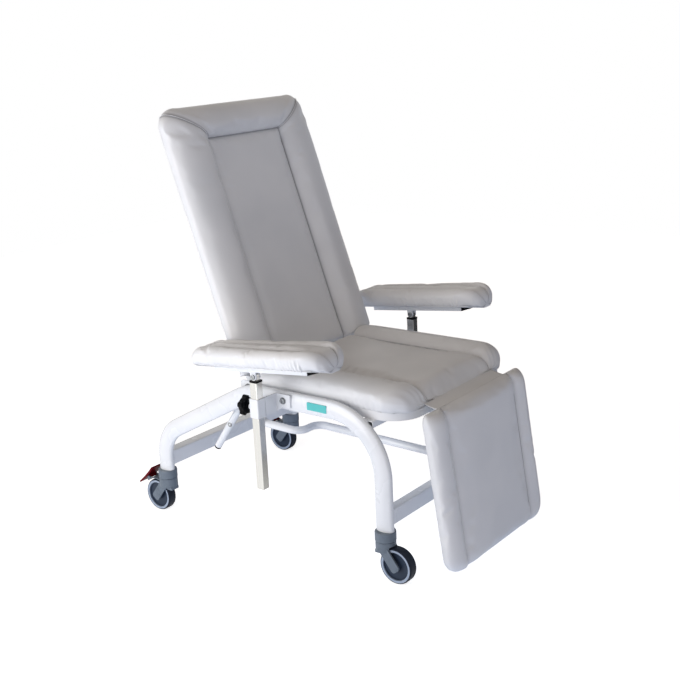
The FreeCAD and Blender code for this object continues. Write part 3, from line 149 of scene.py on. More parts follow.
def blendColours(tree, factor, first, second):
    mix = shaderNode(tree, "Mix", data_type="RGBA")
    tree.links.new(factor, mix.inputs["Factor"])
    for label, value in (("A", first), ("B", second)):
        socket = [s for s in mix.inputs if s.name == label and s.type == "RGBA"][0]
        if isinstance(value, bpy.types.NodeSocket):
            tree.links.new(value, socket)
        else:
            socket.default_value = value
    return [s for s in mix.outputs if s.type == "RGBA"][0]


def spread(tree, value, low, high, fromLow=0.0, fromHigh=1.0):
    node = shaderNode(tree, "MapRange", {"Value": value, "From Min": fromLow, "From Max": fromHigh,
                                         "To Min": low, "To Max": high})
    return node.outputs["Result"]


def calculate(tree, operation, first, second):
    return shaderNode(tree, "Math", {0: first, 1: second}, operation=operation).outputs[0]


def addBump(tree, bsdf, height, strength, distance):
    bump = shaderNode(tree, "Bump", {"Height": height, "Strength": strength, "Distance": distance})
    tree.links.new(bump.outputs["Normal"], bsdf.inputs["Normal"])


# Shader groups that several materials share
skins = {
    "cells": 700.0, "fine": 1600.0, "fineShare": 0.4, "patches": 6.0,  # vinyl
    "grain": 900.0, "scuffs": 30.0, "scuffFrom": 0.52, "scuffTo": 0.78,  # moulded plastic and rubber
    "ripple": 260.0, "clouds": 9.0,  # paint
    "squeeze": (900, 900, 14),  # brushed metal, unless a material gives its own
}


def shaderGroup(name, mask, **inputs):
    # a named node group that takes a point and some values, and gives a height and a mask
    group = bpy.data.node_groups.new(name, "ShaderNodeTree")
    for label, value in {"Point": (0, 0, 0), **inputs}.items():
        kind = "NodeSocketVector" if isinstance(value, tuple) else "NodeSocketFloat"
        group.interface.new_socket(label, in_out="INPUT", socket_type=kind).default_value = value
    for label in ("Height", mask):
        group.interface.new_socket(label, in_out="OUTPUT", socket_type="NodeSocketFloat")
    return group, group.nodes.new("NodeGroupInput").outputs, group.nodes.new("NodeGroupOutput").inputs


def noiseOf(tree, point, scale, detail, roughness=0.5):
    node = shaderNode(tree, "TexNoise", {"Vector": point, "Scale": scale, "Detail": detail,
                                         "Roughness": roughness})
    return node.outputs["Fac"]


def makeVinylGroup():
    # pebbled grain as rounded cells with a finer noise over it, and a slow mottle for the colour
    group, given, result = shaderGroup("vinylGrain", "Mottle", Cells=skins["cells"], Fine=skins["fine"],
                                       Patches=skins["patches"])
    cells = shaderNode(group, "TexVoronoi", {"Vector": given["Point"], "Scale": given["Cells"]},
                       feature="SMOOTH_F1")
    fine = noiseOf(group, given["Point"], given["Fine"], 1.0)
    lesser = calculate(group, "MULTIPLY", fine, skins["fineShare"])
    height = calculate(group, "SUBTRACT", lesser, cells.outputs["Distance"])
    group.links.new(height, result["Height"])
    group.links.new(noiseOf(group, given["Point"], given["Patches"], 2.0), result["Mottle"])
    return group


def makeMouldGroup():
    # fine texture of moulded plastic, and scuffs as patches of rough noise
    group, given, result = shaderGroup("mouldedSkin", "Scuff", Grain=skins["grain"], Scuffs=skins["scuffs"])
    scuff = noiseOf(group, given["Point"], given["Scuffs"], 6.0, 0.7)
    worn = spread(group, scuff, 0.0, 1.0, skins["scuffFrom"], skins["scuffTo"])
    group.links.new(noiseOf(group, given["Point"], given["Grain"], 2.0), result["Height"])
    group.links.new(worn, result["Scuff"])
    return group


def makePaintGroup():
    # slow waves of a sprayed coat over a finer ripple
    group, given, result = shaderGroup("paintSkin", "Mottle", Ripple=skins["ripple"], Patches=skins["clouds"])
    group.links.new(noiseOf(group, given["Point"], given["Ripple"], 1.0), result["Height"])
    group.links.new(noiseOf(group, given["Point"], given["Patches"], 3.0), result["Mottle"])
    return group


def makeBrushGroup():
    # streaks along one axis: noise on a point that is squeezed across it
    group, given, result = shaderGroup("brushedLines", "Streak", Squeeze=skins["squeeze"])
    squeezed = shaderNode(group, "VectorMath", {0: given["Point"], 1: given["Squeeze"]}, operation="MULTIPLY")
    lines = noiseOf(group, squeezed.outputs[0], 1.0, 3.0)
    group.links.new(lines, result["Height"])
    group.links.new(lines, result["Streak"])
    return group


groups = {
    "vinyl": makeVinylGroup(),
    "mould": makeMouldGroup(),
    "paint": makePaintGroup(),
    "brush": makeBrushGroup(),
}


def placeGroup(tree, key, **values):
    node = tree.nodes.new("ShaderNodeGroup")
    node.node_tree = groups[key]
    tree.links.new(objectPoint(tree), node.inputs["Point"])
    for label, value in values.items():
        node.inputs[label].default_value = value
    return node


# Materials
# light and shade are the two tones that a mask blends, smooth and rough the ends of the roughness, and grain
# the strength of the bump; seam is the tone of the painted shade in the vinyl's seams and along its base
finish = {
    "vinyl": {"light": colour(0.80, 0.80, 0.80), "shade": colour(0.75, 0.755, 0.76),
              "seam": colour(0.26, 0.26, 0.28), "smooth": 0.36, "rough": 0.48, "grain": 0.16},
    "paint": {"light": colour(0.80, 0.81, 0.82), "shade": colour(0.76, 0.775, 0.79),
              "smooth": 0.20, "rough": 0.32, "grain": 0.10},
    "gas": {"light": colour(0.020, 0.020, 0.022), "shade": colour(0.012, 0.012, 0.013),
            "smooth": 0.25, "rough": 0.4, "grain": 0.10},
    "plate": {"light": colour(0.09, 0.55, 0.54), "shade": colour(0.06, 0.48, 0.47),
              "smooth": 0.25, "rough": 0.4, "grain": 0.10},
    "castor": {"light": colour(0.150, 0.180, 0.215), "shade": colour(0.105, 0.130, 0.160),
               "smooth": 0.36, "rough": 0.52, "grain": 0.16},
    "tyre": {"light": colour(0.011, 0.015, 0.027), "shade": colour(0.006, 0.009, 0.017),
             "smooth": 0.50, "rough": 0.70, "grain": 0.25},
    "pedal": {"light": colour(0.120, 0.002, 0.006), "shade": colour(0.080, 0.001, 0.004),
              "smooth": 0.34, "rough": 0.50, "grain": 0.14},
    "black": {"light": colour(0.006, 0.006, 0.007), "shade": colour(0.003, 0.003, 0.004),
              "smooth": 0.26, "rough": 0.42, "grain": 0.14},
    "steel": {"light": colour(0.80, 0.79, 0.76), "shade": colour(0.68, 0.67, 0.64),
              "smooth": 0.10, "rough": 0.20, "grain": 0.05, "given": {"Squeeze": (900, 900, 10)}},
    "zinc": {"light": colour(0.38, 0.39, 0.40), "shade": colour(0.25, 0.26, 0.27),
             "smooth": 0.22, "rough": 0.38, "grain": 0.05, "given": {"Squeeze": (60, 900, 900)}},
    "wheel": {"ring": colour(0.34, 0.40, 0.49), "disc": colour(0.022, 0.034, 0.058),
              "smooth": 0.38, "rough": 0.55, "grain": 0.12, "worn": 0.30,
              "ringStart": 0.0385, "ringFull": 0.0400},  # distance from the axle where the light ring starts
}
# each kind of skin: its mask, the mask's useful middle for tone and for roughness, and the bump's height
kinds = {
    "vinyl": {"mask": "Mottle", "tone": (0.35, 0.65), "gloss": (0.3, 0.7), "depth": 0.0006},
    "paint": {"mask": "Mottle", "tone": (0.35, 0.65), "gloss": (0.3, 0.7), "depth": 0.0005},
    "brush": {"mask": "Streak", "tone": (0.3, 0.7), "gloss": (0.3, 0.7), "depth": 0.0003},
    "mould": {"mask": "Scuff", "tone": (0.0, 1.0), "gloss": (0.0, 1.0), "depth": 0.0003},
}


def twoTones(tree, mask, value, kind):
    share = spread(tree, mask, 0.0, 1.0, *kinds[kind]["tone"])
    return blendColours(tree, share, value["light"], value["shade"])


def skinMaterial(name, kind, key, tones=None, **principled):
    # the skin's mask blends two tones and two roughnesses, and its height gives the bump
    value, look = finish[key], kinds[kind]
    material, tree, bsdf = newMaterial(name, **principled)
    skin = placeGroup(tree, kind, **value.get("given", {}))
    mask = skin.outputs[look["mask"]]
    base = tones(tree, mask, value) if tones else twoTones(tree, mask, value, kind)
    rough = spread(tree, mask, value["smooth"], value["rough"], *look["gloss"])
    tree.links.new(base, bsdf.inputs["Base Color"])
    tree.links.new(rough, bsdf.inputs["Roughness"])
    addBump(tree, bsdf, skin.outputs["Height"], value["grain"], look["depth"])
    return material


def seamedVinyl(tree, mask, value):
    # painted shade: the vinyl is darkened beside a seam and along its base, where shade falls in the fold
    paintedSeamShade = shaderNode(tree, "Attribute", attribute_name="seamShade")
    return blendColours(tree, paintedSeamShade.outputs["Fac"], twoTones(tree, mask, value, "vinyl"), value["seam"])


def wheelMaterial(name, centre):
    def ringedFace(tree, mask, value):
        # light near the wheel's rim and dark inside it, by the distance from the axle
        fromAxle = shaderNode(tree, "Mapping", {"Vector": objectPoint(tree), "Location": -Vector(centre)})
        flat = shaderNode(tree, "VectorMath", {0: fromAxle.outputs[0], 1: (0, 1, 1)}, operation="MULTIPLY")
        radius = shaderNode(tree, "VectorMath", {0: flat.outputs[0]}, operation="LENGTH")
        ring = spread(tree, radius.outputs["Value"], 0.0, 1.0, value["ringStart"], value["ringFull"])
        face = blendColours(tree, ring, value["disc"], value["ring"])
        return blendColours(tree, spread(tree, mask, 0.0, value["worn"]), face, value["disc"])

    return skinMaterial(name, "mould", "wheel", ringedFace, Specular_IOR_Level=0.25)


coat = {"Coat_Weight": 0.25, "Coat_Roughness": 0.12}
materials = {
    "white_vinyl": skinMaterial("sewnVinyl", "vinyl", "vinyl", seamedVinyl, Specular_IOR_Level=0.42),
    "vinyl_board": skinMaterial("boardVinyl", "vinyl", "vinyl", Specular_IOR_Level=0.42),
    "white_paint": skinMaterial("whitePaint", "paint", "paint", **coat),
    "black_steel": skinMaterial("gasSpringPaint", "paint", "gas", **coat),
    "stainless": skinMaterial("polishedPost", "brush", "steel", Metallic=1.0),
    "zinc_steel": skinMaterial("zincSteel", "brush", "zinc", Metallic=1.0),
    "castor_plastic": skinMaterial("castorPlastic", "mould", "castor", Specular_IOR_Level=0.22),
    "grey_tyre": skinMaterial("tyreRubber", "mould", "tyre", Specular_IOR_Level=0.18),
    "red_plastic": skinMaterial("pedalPlastic", "mould", "pedal", Specular_IOR_Level=0.06),
    "black_plastic": skinMaterial("blackPlastic", "mould", "black", Specular_IOR_Level=0.05),
    "teal_plate": skinMaterial("tealPlate", "paint", "plate", **coat),
}

for nodeName, node in frame["nodes"].items():
    node.data.materials.clear()
    if slotOf[nodeName] == "light_plastic":
        spinName = nodeName.replace("castor_wheel", "spin")
        node.data.materials.append(wheelMaterial("wheelFace_" + spinName, jointPlace(spinName)))
    else:
        node.data.materials.append(materials[slotOf[nodeName]])
print("materials placed on", len(frame["nodes"]), "CAD nodes")


# Mesh tools
def gridFaces(rows, columns, wrapColumns=False):
    # the four corners of each cell of a grid, counted row by row
    row = np.arange(rows - 1)[:, None]
    column = np.arange(columns if wrapColumns else columns - 1)[None, :]
    nextColumn = (column + 1) % columns
    corners = [row * columns + column, row * columns + nextColumn,
               (row + 1) * columns + nextColumn, (row + 1) * columns + column]
    shape = (row.size, column.size)
    return np.stack([np.broadcast_to(corner, shape).ravel() for corner in corners], 1).tolist()


def closedTube(rows, columns):
    # faces of a tube of rings, with one many-sided face at each end
    ring = np.arange(columns)
    return gridFaces(rows, columns, True) + [ring[::-1].tolist(), ((rows - 1) * columns + ring).tolist()]


def meshObject(name, points, faces, material, marks=None, merge=0.0, crease=None, smooth=True):
    # an object from points and faces, with named values on its points and its normals outwards
    mesh = bpy.data.meshes.new(name)
    mesh.from_pydata(np.asarray(points, float).reshape(-1, 3).tolist(), [], faces)
    for label, values in (marks or {}).items():
        row = np.asarray(values, np.float32).ravel()
        mesh.attributes.new(label, "FLOAT", "POINT").data.foreach_set("value", row)
    shape = bmesh.new()
    shape.from_mesh(mesh)
    if merge > 0:
        bmesh.ops.remove_doubles(shape, verts=shape.verts, dist=merge)
    bmesh.ops.recalc_face_normals(shape, faces=shape.faces)
    if crease:
        sharp = shape.edges.layers.float.new("crease_edge")
        mark = shape.verts.layers.float[crease]
        for edge in shape.edges:
            if edge.verts[0][mark] > 0.5 and edge.verts[1][mark] > 0.5:
                edge[sharp] = 1.0
    shape.to_mesh(mesh)
    shape.free()
    mesh.polygons.foreach_set("use_smooth", np.full(len(mesh.polygons), smooth))
    mesh.materials.append(material)
    piece = bpy.data.objects.new(name, mesh)
    scene.collection.objects.link(piece)
    return piece


def readMark(piece, label):
    values = np.zeros(len(piece.data.vertices), np.float32)
    piece.data.attributes[label].data.foreach_get("value", values)
    return values


def readVectors(mesh, label="co"):
    values = np.zeros(len(mesh.vertices) * 3, np.float32)
    mesh.vertices.foreach_get(label, values)
    return values.reshape(-1, 3).astype(float)


def writePoints(mesh, points):
    mesh.vertices.foreach_set("co", points.astype(np.float32).ravel())
    mesh.update()


def endShare(gap, radius, power=2.0):
    # 0 at an end and 1 a radius away from it, along a rounded quarter
    away = np.clip(1 - gap / radius, 0, 1)
    return (1 - away ** power) ** (1 / power)


def stationLine(length, spacing, firstRound, lastRound, turns=9):
    # even turns round both ends, and even steps between them
    turn = 1 - np.cos(np.linspace(0, np.pi / 2, turns))
    count = max(3, int(round((length - firstRound - lastRound) / spacing)) + 1)
    middle = np.linspace(firstRound, length - lastRound, count)[1:-1]
    return np.concatenate([firstRound * turn, middle, length - (lastRound * turn)[::-1]])


def walkAlong(path):
    # the distance walked along a path at each of its points
    return np.concatenate([[0], np.cumsum(np.linalg.norm(np.diff(path, axis=0), axis=1))])


ruffle = {"waves": 4, "most": 2.4, "crease": 0.35}


def pucker(along, seed, shortest, longest):
    # several sine waves of unlike length and phase, from -1 to 1, with narrow valleys
    random = np.random.default_rng(seed)
    waves = [np.sin(2 * np.pi * along / random.uniform(shortest, longest) + random.uniform(0, 2 * np.pi))
             for _ in range(ruffle["waves"])]
    mixed = np.clip(sum(waves) / ruffle["most"], -1, 1)
    return mixed - ruffle["crease"] * (1 - np.abs(mixed)) ** 2


def fastenPiece(piece, body):
    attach(piece, body)


def tube(name, path, radius, slot, body, ripple=0.0, pitch=0.004, sides=10):
    # rings of even angles round a path, each square to the path's own direction; a ripple swells and narrows
    # them along it
    path = np.asarray(path, float)
    way = np.gradient(path, axis=0)
    way /= np.maximum(np.linalg.norm(way, axis=1, keepdims=True), 1e-9)
    steep = np.abs(way[:, 2:]) >= 0.8
    helper = np.where(steep, np.array([[1.0, 0.0, 0.0]]), np.array([[0.0, 0.0, 1.0]]))
    aside = np.cross(way, helper)
    aside /= np.linalg.norm(aside, axis=1, keepdims=True)
    upward = np.cross(aside, way)
    walk = walkAlong(path)
    size = radius * (1 + ripple * np.sin(2 * np.pi * walk / pitch))
    turn = np.linspace(0, 2 * np.pi, sides, endpoint=False)
    ring = aside[:, None] * np.cos(turn)[None, :, None] + upward[:, None] * np.sin(turn)[None, :, None]
    points = path[:, None] + ring * size[:, None, None]
    piece = meshObject(name, points, closedTube(len(path), sides), materials[slot])
    fastenPiece(piece, body)


lathe = {"sides": 48, "sharpAngle": 38, "mergeWithin": 1e-7}


def turned(name, centre, way, profile, slot, body):
    # a profile of (radius, distance along the axis, how far it is a hexagon) turned once about X
    turn = np.linspace(0, 2 * np.pi, lathe["sides"], endpoint=False)
    sixth = np.mod(turn + np.pi / 6, np.pi / 3) - np.pi / 6
    hexagon = np.cos(np.pi / 6) / np.cos(sixth)
    rows = np.array(profile, float)
    reach = rows[:, :1] * (1 + rows[:, 2:] * (hexagon[None] - 1))
    points = np.stack([centre[0] + way * rows[:, 1:2] + 0 * reach, centre[1] + reach * np.cos(turn)[None],
                       centre[2] + reach * np.sin(turn)[None]], 2)
    piece = meshObject(name, points, closedTube(len(rows), lathe["sides"]), materials[slot],
                       merge=lathe["mergeWithin"])
    edges = piece.modifiers.new("Edges", "EDGE_SPLIT")
    edges.split_angle = math.radians(lathe["sharpAngle"])
    fastenPiece(piece, body)


def roundedOutline(rear, front, low, high, corner, turns):
    # a rectangle in y and z with a quarter turn at each of its corners
    turn = np.linspace(0, np.pi / 2, turns)
    ring = []
    for y, z, quarter in ((rear - corner, high - corner, 0), (front + corner, high - corner, 1),
                          (front + corner, low + corner, 2), (rear - corner, low + corner, 3)):
        angle = turn + quarter * np.pi / 2
        ring.append(np.stack([y + corner * np.cos(angle), z + corner * np.sin(angle)], 1))
    return np.concatenate(ring)


# Sewn cushions
sewing = {"mergeWithin": 2e-5, "boardMost": 0.95}


def leaning(value, pivot, x, up, h):
    # points up a board that leans back from its hinge, and out from its face
    lean, out = math.radians(value["tilt"]), value["base"] + h
    return np.stack([x, pivot[1] + up * math.sin(lean) - out * math.cos(lean),
                     pivot[2] + up * math.cos(lean) + out * math.sin(lean)], -1)


def bluntCurve(share, power):
    # 1 at the crest and 0 at the widest point
    return (1 - np.clip(share, 0, 1) ** power) ** (1 / power)


def crossSection(value, spine, seam, edge, foot, board, rise, lift, ground):
    # half of a cushion's section, in plan and in height, from the panel's middle to the base's: a panel that
    # rounds down to its seam, a quarter ellipse up to the bolster's crest, a blunter curve down to the widest
    # point, another quarter ellipse under to the foot, then in to the board's edge and level over it
    turn = {key: np.linspace(0, 1, value["steps"][key] + 1)[1:, None] * np.pi / 2
            for key in ("panel", "inner", "outer", "under")}
    inward = np.linspace(0, 1, value["steps"]["base"])[:, None]
    crest, low, panel, side = (value[key] * rise for key in ("crest", "seamHeight", "panel", "side"))
    middle = seam + (edge - seam) * value["crestPlace"]
    share, blunt = np.sin(turn["panel"]), np.sin(turn["outer"])
    plan = [
        spine, spine + (seam - spine) * share, seam + (middle - seam) * (1 - np.cos(turn["inner"])),
        middle + (edge - middle) * blunt, foot + (edge - foot) * np.cos(turn["under"]),
        board + (spine - board) * inward,
    ]
    height = [
        panel, low + (panel - low) * np.sqrt(np.clip(1 - share ** value["panelPower"], 0, 1)),
        low + (crest - low) * np.sin(turn["inner"]),
        side + (crest - side) * bluntCurve(blunt, value["blunt"]),
        lift + (side - lift) * (1 - np.sin(turn["under"])), ground + 0 * inward,
    ]
    return np.concatenate(plan, 1), np.concatenate(height, 1)[:, :, 0]


def sewnCushion(name, value, place, body, nodes, gathers=None):
    # two bolsters and a panel between them: a section at each station along the length, closed at each end
    along = stationLine(value["length"], value["spacing"], value["firstRound"], value["lastRound"])
    first, last = along, value["length"] - along
    ends = (endShare(first, value["firstRound"], value["firstPower"])
            * endShare(last, value["lastRound"], value["lastPower"]))
    half = value["halfWidth"](along)
    width = half - (value["firstInset"] * (1 - endShare(first, value["firstCorner"]))
                    + value["lastInset"] * (1 - endShare(last, value["lastCorner"])))
    rise = value["least"] + (1 - value["least"]) * ends
    seam = value["seam"](along) * np.minimum(1, (width / half) ** value["seamFollow"])
    width, seam, rise = (part[:, None, None] for part in (width, seam, rise))
    foot = width - value["draw"] * rise
    board = np.minimum(value["boardHalf"], foot * sewing["boardMost"])
    plan, h = crossSection(value, 0 * width, seam, width, foot, board, rise, value["lift"] * rise, 0 * rise)
    x, steps, count = plan[:, :, 0], value["steps"], plan.shape[1]
    seamColumn, footColumn = steps["panel"], count - 1 - steps["base"]
    mirror = slice(count - 2, 0, -1)
    x = np.concatenate([x, -x[:, mirror]], 1)
    h = np.concatenate([h, h[:, mirror]], 1)
    rows, columns = x.shape
    t = np.repeat(along[:, None], columns, 1)
    points = place(x, t, h)
    mirrored = np.minimum(np.arange(columns), columns - np.arange(columns))[None]
    onSeam = np.repeat(mirrored == seamColumn, rows, 0)
    onFoot = np.repeat(mirrored == footColumn, rows, 0)
    held = onSeam | np.repeat(mirrored >= footColumn, rows, 0)
    held[[0, -1]] = True
    swell = gathers(x, t, h) if gathers else 0 * x
    marks = {"seam": onSeam, "foot": onFoot, "pin": held, "swell": swell}
    finishCushion(name, points, closedTube(rows, columns), marks, body, nodes, value)
    return points[:, footColumn], points[:, columns - footColumn]


def finishCushion(name, points, faces, marks, body, nodes, value):
    piece = meshObject(name, points, faces, materials["white_vinyl"], marks, sewing["mergeWithin"], "seam")
    inflate(piece, value["pressure"], value["cap"])
    normal = readVectors(piece.data, "normal")
    writePoints(piece.data, readVectors(piece.data) + normal * readMark(piece, "swell")[:, None])
    shadeSeams(piece)
    rounded = piece.modifiers.new("Subdivision", "SUBSURF")
    rounded.levels = rounded.render_levels = 1
    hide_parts(*nodes)
    fastenPiece(piece, body)


cloth = {"frames": 20, "stiffness": 25, "bending": 1.5, "swelling": -0.015}


def inflate(piece, pressure, cap):
    # cloth under inner pressure, with its seams and its base held; no point moves further than the cap
    held = np.nonzero(readMark(piece, "pin") > 0.5)[0]
    group = piece.vertex_groups.new(name="held")
    group.add(held.tolist(), 1.0, "REPLACE")
    before = readVectors(piece.data)
    modifier = piece.modifiers.new("Cloth", "CLOTH")
    settings = modifier.settings
    settings.use_pressure = True
    settings.uniform_pressure_force = pressure
    settings.effector_weights.gravity = 0
    settings.vertex_group_mass = "held"
    settings.tension_stiffness = settings.compression_stiffness = cloth["stiffness"]
    settings.bending_stiffness = cloth["bending"]
    settings.shrink_min = cloth["swelling"]
    modifier.collision_settings.use_collision = False
    modifier.point_cache.frame_start, modifier.point_cache.frame_end = 1, cloth["frames"]
    for number in range(1, cloth["frames"] + 1):
        scene.frame_set(number)
    settled = piece.evaluated_get(bpy.context.evaluated_depsgraph_get())
    step = readVectors(settled.data) - before
    piece.modifiers.remove(modifier)
    piece.vertex_groups.remove(group)
    scene.frame_set(1)
    size = np.linalg.norm(step, axis=1, keepdims=True)
    writePoints(piece.data, before + step * np.minimum(1, cap / np.maximum(size, 1e-9)))
    print("cloth settled on", piece.name, "largest step", round(float(size.max()) * 1000, 1), "mm")


# widths and depths of the painted shade in the seams and along the base
paintedSeamShade = {"line": 0.0034, "lineDepth": 0.72, "soft": 0.020, "softDepth": 0.24, "foot": 0.75}


def shadeSeams(piece):
    # painted shade: a dark line on the seams and along the base, and a soft painted shade that fades away from
    # both
    points = readVectors(piece.data)
    shade = 0
    for label, depth in (("seam", 1.0), ("foot", paintedSeamShade["foot"])):
        marked = points[readMark(piece, label) > 0.5]
        tree = KDTree(len(marked))
        for number, point in enumerate(marked):
            tree.insert(point, number)
        tree.balance()
        away = np.array([tree.find(point)[2] for point in points])
        line = np.clip(1 - away / paintedSeamShade["line"], 0, 1) * paintedSeamShade["lineDepth"]
        soft = np.clip(1 - away / paintedSeamShade["soft"], 0, 1) ** 2 * paintedSeamShade["softDepth"]
        shade = np.maximum(shade, depth * (line + soft))
    shade = np.clip(shade, 0, 1).astype(np.float32)
    piece.data.attributes.new("seamShade", "FLOAT", "POINT").data.foreach_set("value", shade)


# Seat cushion
seatLow, seatHigh = boxOf("seat_cushion")
# first is its rear end and last its front; panel and seamHeight are the heights of the panel's middle and of
# its seam, crest that of the bolsters' top, side that of the widest point, and draw how far the foot lies
# inside that point
seat = {
    "length": seatHigh[1] - seatLow[1], "spacing": 0.005, "firstRound": 0.009, "lastRound": 0.060,
    "firstPower": 3.2, "lastPower": 2.2, "firstCorner": 0.026, "lastCorner": 0.080,
    "firstInset": 0.014, "lastInset": 0.078, "least": 0.10, "boardHalf": 0.268, "seamFollow": 0.12,
    "halfWidth": lambda t: np.full_like(t, 0.2795), "seam": lambda t: np.full_like(t, 0.163),
    "crest": 0.0670, "seamHeight": 0.042, "panel": 0.052, "side": 0.028, "draw": 0.012, "lift": 0.0,
    "crestPlace": 0.36, "panelPower": 12, "blunt": 1.7,
    "steps": {"panel": 20, "inner": 8, "outer": 14, "under": 6, "base": 6},
    "pressure": 3.0, "cap": 0.004, "fill": 0.75,
}
seatPuckers = {"depth": 0.0021, "seed": 11, "waves": (0.016, 0.030), "apart": 0.15, "height": 0.012,
               "reach": 0.026, "fade": 0.7, "from": 0.16, "over": 0.24, "outside": 0.17}
noseFolds = {"depth": 0.0016, "seed": 17, "waves": (0.014, 0.026), "apart": 0.3, "from": 0.435, "over": 0.03,
             "outside": 0.165, "rise": 0.02, "slant": 0.6}


def seatPlace(x, t, h):
    return np.stack([x, seatHigh[1] - t, seatLow[2] + h], 2)


def rowOfPuckers(value, x, t, h):
    # upright puckers that start part of the way along, deepest at one height and fading out above and below
    front = np.clip((t - value["from"]) / value["over"], 0, 1)
    low = np.clip(1 - np.abs(h - value["height"]) / value["reach"], 0, 1) ** value["fade"]
    waves = pucker(t + value["apart"] * np.sign(x), value["seed"], *value["waves"])
    return value["depth"] * waves, front, low * (np.abs(x) > value["outside"])


def seatGathers(x, t, h):
    # puckers above the base seam of the front half, and folds round the bolsters' front ends
    waves, front, low = rowOfPuckers(seatPuckers, x, t, h)
    value = noseFolds
    nose = (np.clip((t - value["from"]) / value["over"], 0, 1) * (np.abs(x) > value["outside"])
            * np.clip(h / value["rise"], 0, 1))
    walk = np.abs(x) + value["slant"] * t + value["apart"] * np.sign(x)
    return waves * front * low + value["depth"] * pucker(walk, value["seed"], *value["waves"]) * nose


seatFeet = sewnCushion("seatCushion", seat, seatPlace, "frame", ["seat_cushion"], seatGathers)
print("seat cushion made")


# Legrest cushion
# first is its upper end, and base and top give the board's place from the hinge
leg = {
    "tilt": 8.3, "top": 0.012, "base": 0.028,
    "length": 0.4405, "spacing": 0.006, "firstRound": 0.040, "lastRound": 0.036,
    "firstPower": 2.1, "lastPower": 2.3, "firstCorner": 0.030, "lastCorner": 0.056,
    "firstInset": 0.014, "lastInset": 0.050, "least": 0.10, "boardHalf": 0.2305, "seamFollow": 0.30,
    "halfWidth": lambda t: np.full_like(t, 0.2440), "seam": lambda t: np.full_like(t, 0.174),
    "crest": 0.035, "seamHeight": 0.017, "panel": 0.0365, "side": 0.010, "draw": 0.005, "lift": -0.009,
    "crestPlace": 0.40, "blunt": 1.6, "panelPower": 6,
    "steps": {"panel": 20, "inner": 6, "outer": 9, "under": 5, "base": 6},
    "pressure": 2.0, "cap": 0.002, "fill": 0.7,
}


def legPlace(x, t, h):
    return leaning(leg, legPivot, x, leg["top"] - t, h)


sewnCushion("legrestCushion", leg, legPlace, "legrest", ["leg_cushion"])
print("legrest cushion made")


# Arm pads
# first is the rear end; each pad's vinyl wraps round its board, so the piece replaces both
armPad = {
    "tilt": 6.2, "rear": 0.203, "base": 0.025,
    "length": 0.485, "spacing": 0.004, "firstRound": 0.060, "lastRound": 0.052,
    "firstPower": 1.8, "lastPower": 2.3, "firstCorner": 0.050, "lastCorner": 0.076,
    "firstInset": 0.038, "lastInset": 0.048, "least": 0.26, "boardHalf": 0.018,
    "halfWidth": lambda t: 0.054 + 0.020 * np.clip(t / 0.36, 0, 1) ** 1.1,  # widens towards the front
    "seam": lambda t: 0.015 + 0.009 * np.clip(t / 0.24, 0, 1) + 0.007 * np.clip((t - 0.24) / 0.20, 0, 1),
    "seamFollow": 1.0, "crest": 0.0645, "seamHeight": 0.051, "panel": 0.0630, "side": 0.041, "draw": 0.011,
    "lift": 0.014, "crestPlace": 0.32, "panelPower": 3, "blunt": 1.9,
    "steps": {"panel": 6, "inner": 6, "outer": 13, "under": 6, "base": 6},
    "pressure": 3.0, "cap": 0.003, "fill": 0.8,
}
armPuckers = {"depth": 0.0038, "seed": 23, "waves": (0.010, 0.019), "apart": 0.2, "height": 0.020,
              "reach": 0.034, "fade": 0.8, "from": 0.14, "over": 0.22, "outside": 0.020}


def armPlace(pivot):
    lean = math.radians(armPad["tilt"])

    def place(x, t, h):
        back, up = armPad["rear"] - t, armPad["base"] + h
        return np.stack([pivot[0] + x, pivot[1] + back * math.cos(lean) + up * math.sin(lean),
                         pivot[2] - back * math.sin(lean) + up * math.cos(lean)], 2)
    return place


def armGathers(x, t, h):
    # puckers round the front half, deepest above the base seam
    waves, front, low = rowOfPuckers(armPuckers, x, t, h)
    return waves * front ** armPuckers["fade"] * low


padFeet = {}
for side in ("right", "left"):
    padFeet[side] = sewnCushion("armPad_" + side, armPad, armPlace(jointPlace("arm_tilt_" + side)),
                                "armrest_" + side, ["arm_pad_" + side, "arm_board_" + side], armGathers)
print("arm pads made")


# Back cushion
# the vinyl wraps round the board's edges, but not near the lower end, and the two lower corners are raised,
# both to stay clear of the pivot plates when the backrest is reclined
back = {
    "tilt": 19.0, "bottom": 0.027, "base": -0.003,
    "length": 0.7845, "halfWidth": 0.2995, "seamHalf": 0.157, "topSeam": 0.684, "corner": 0.056,
    "crest": 0.058, "seamHeight": 0.023, "panel": 0.0335, "side": 0.016, "draw": 0.007, "crestPlace": 0.34,
    "boardInset": 0.0150, "blunt": 1.8, "panelPower": 14,
    "spacing": 0.008, "bottomRound": 0.024, "bottomPower": 2.3, "least": 0.30,
    "lift": -0.008, "wrapFrom": 0.16, "clear": 0.0035,
    "cornerRaise": 0.0095, "raiseFrom": 0.258, "raiseOver": 0.010, "raiseFade": 0.06,
    "fanBelow": 0.12, "fanTop": 0.05, "fanSteps": 21,  # the stations spread out towards each upper corner
    "mitreDip": -0.0012, "mitreRows": 2,
    "steps": {"panel": 14, "inner": 9, "outer": 13, "under": 6, "base": 10},
    "pressure": 2.0, "cap": 0.002, "fill": 0.75,
}


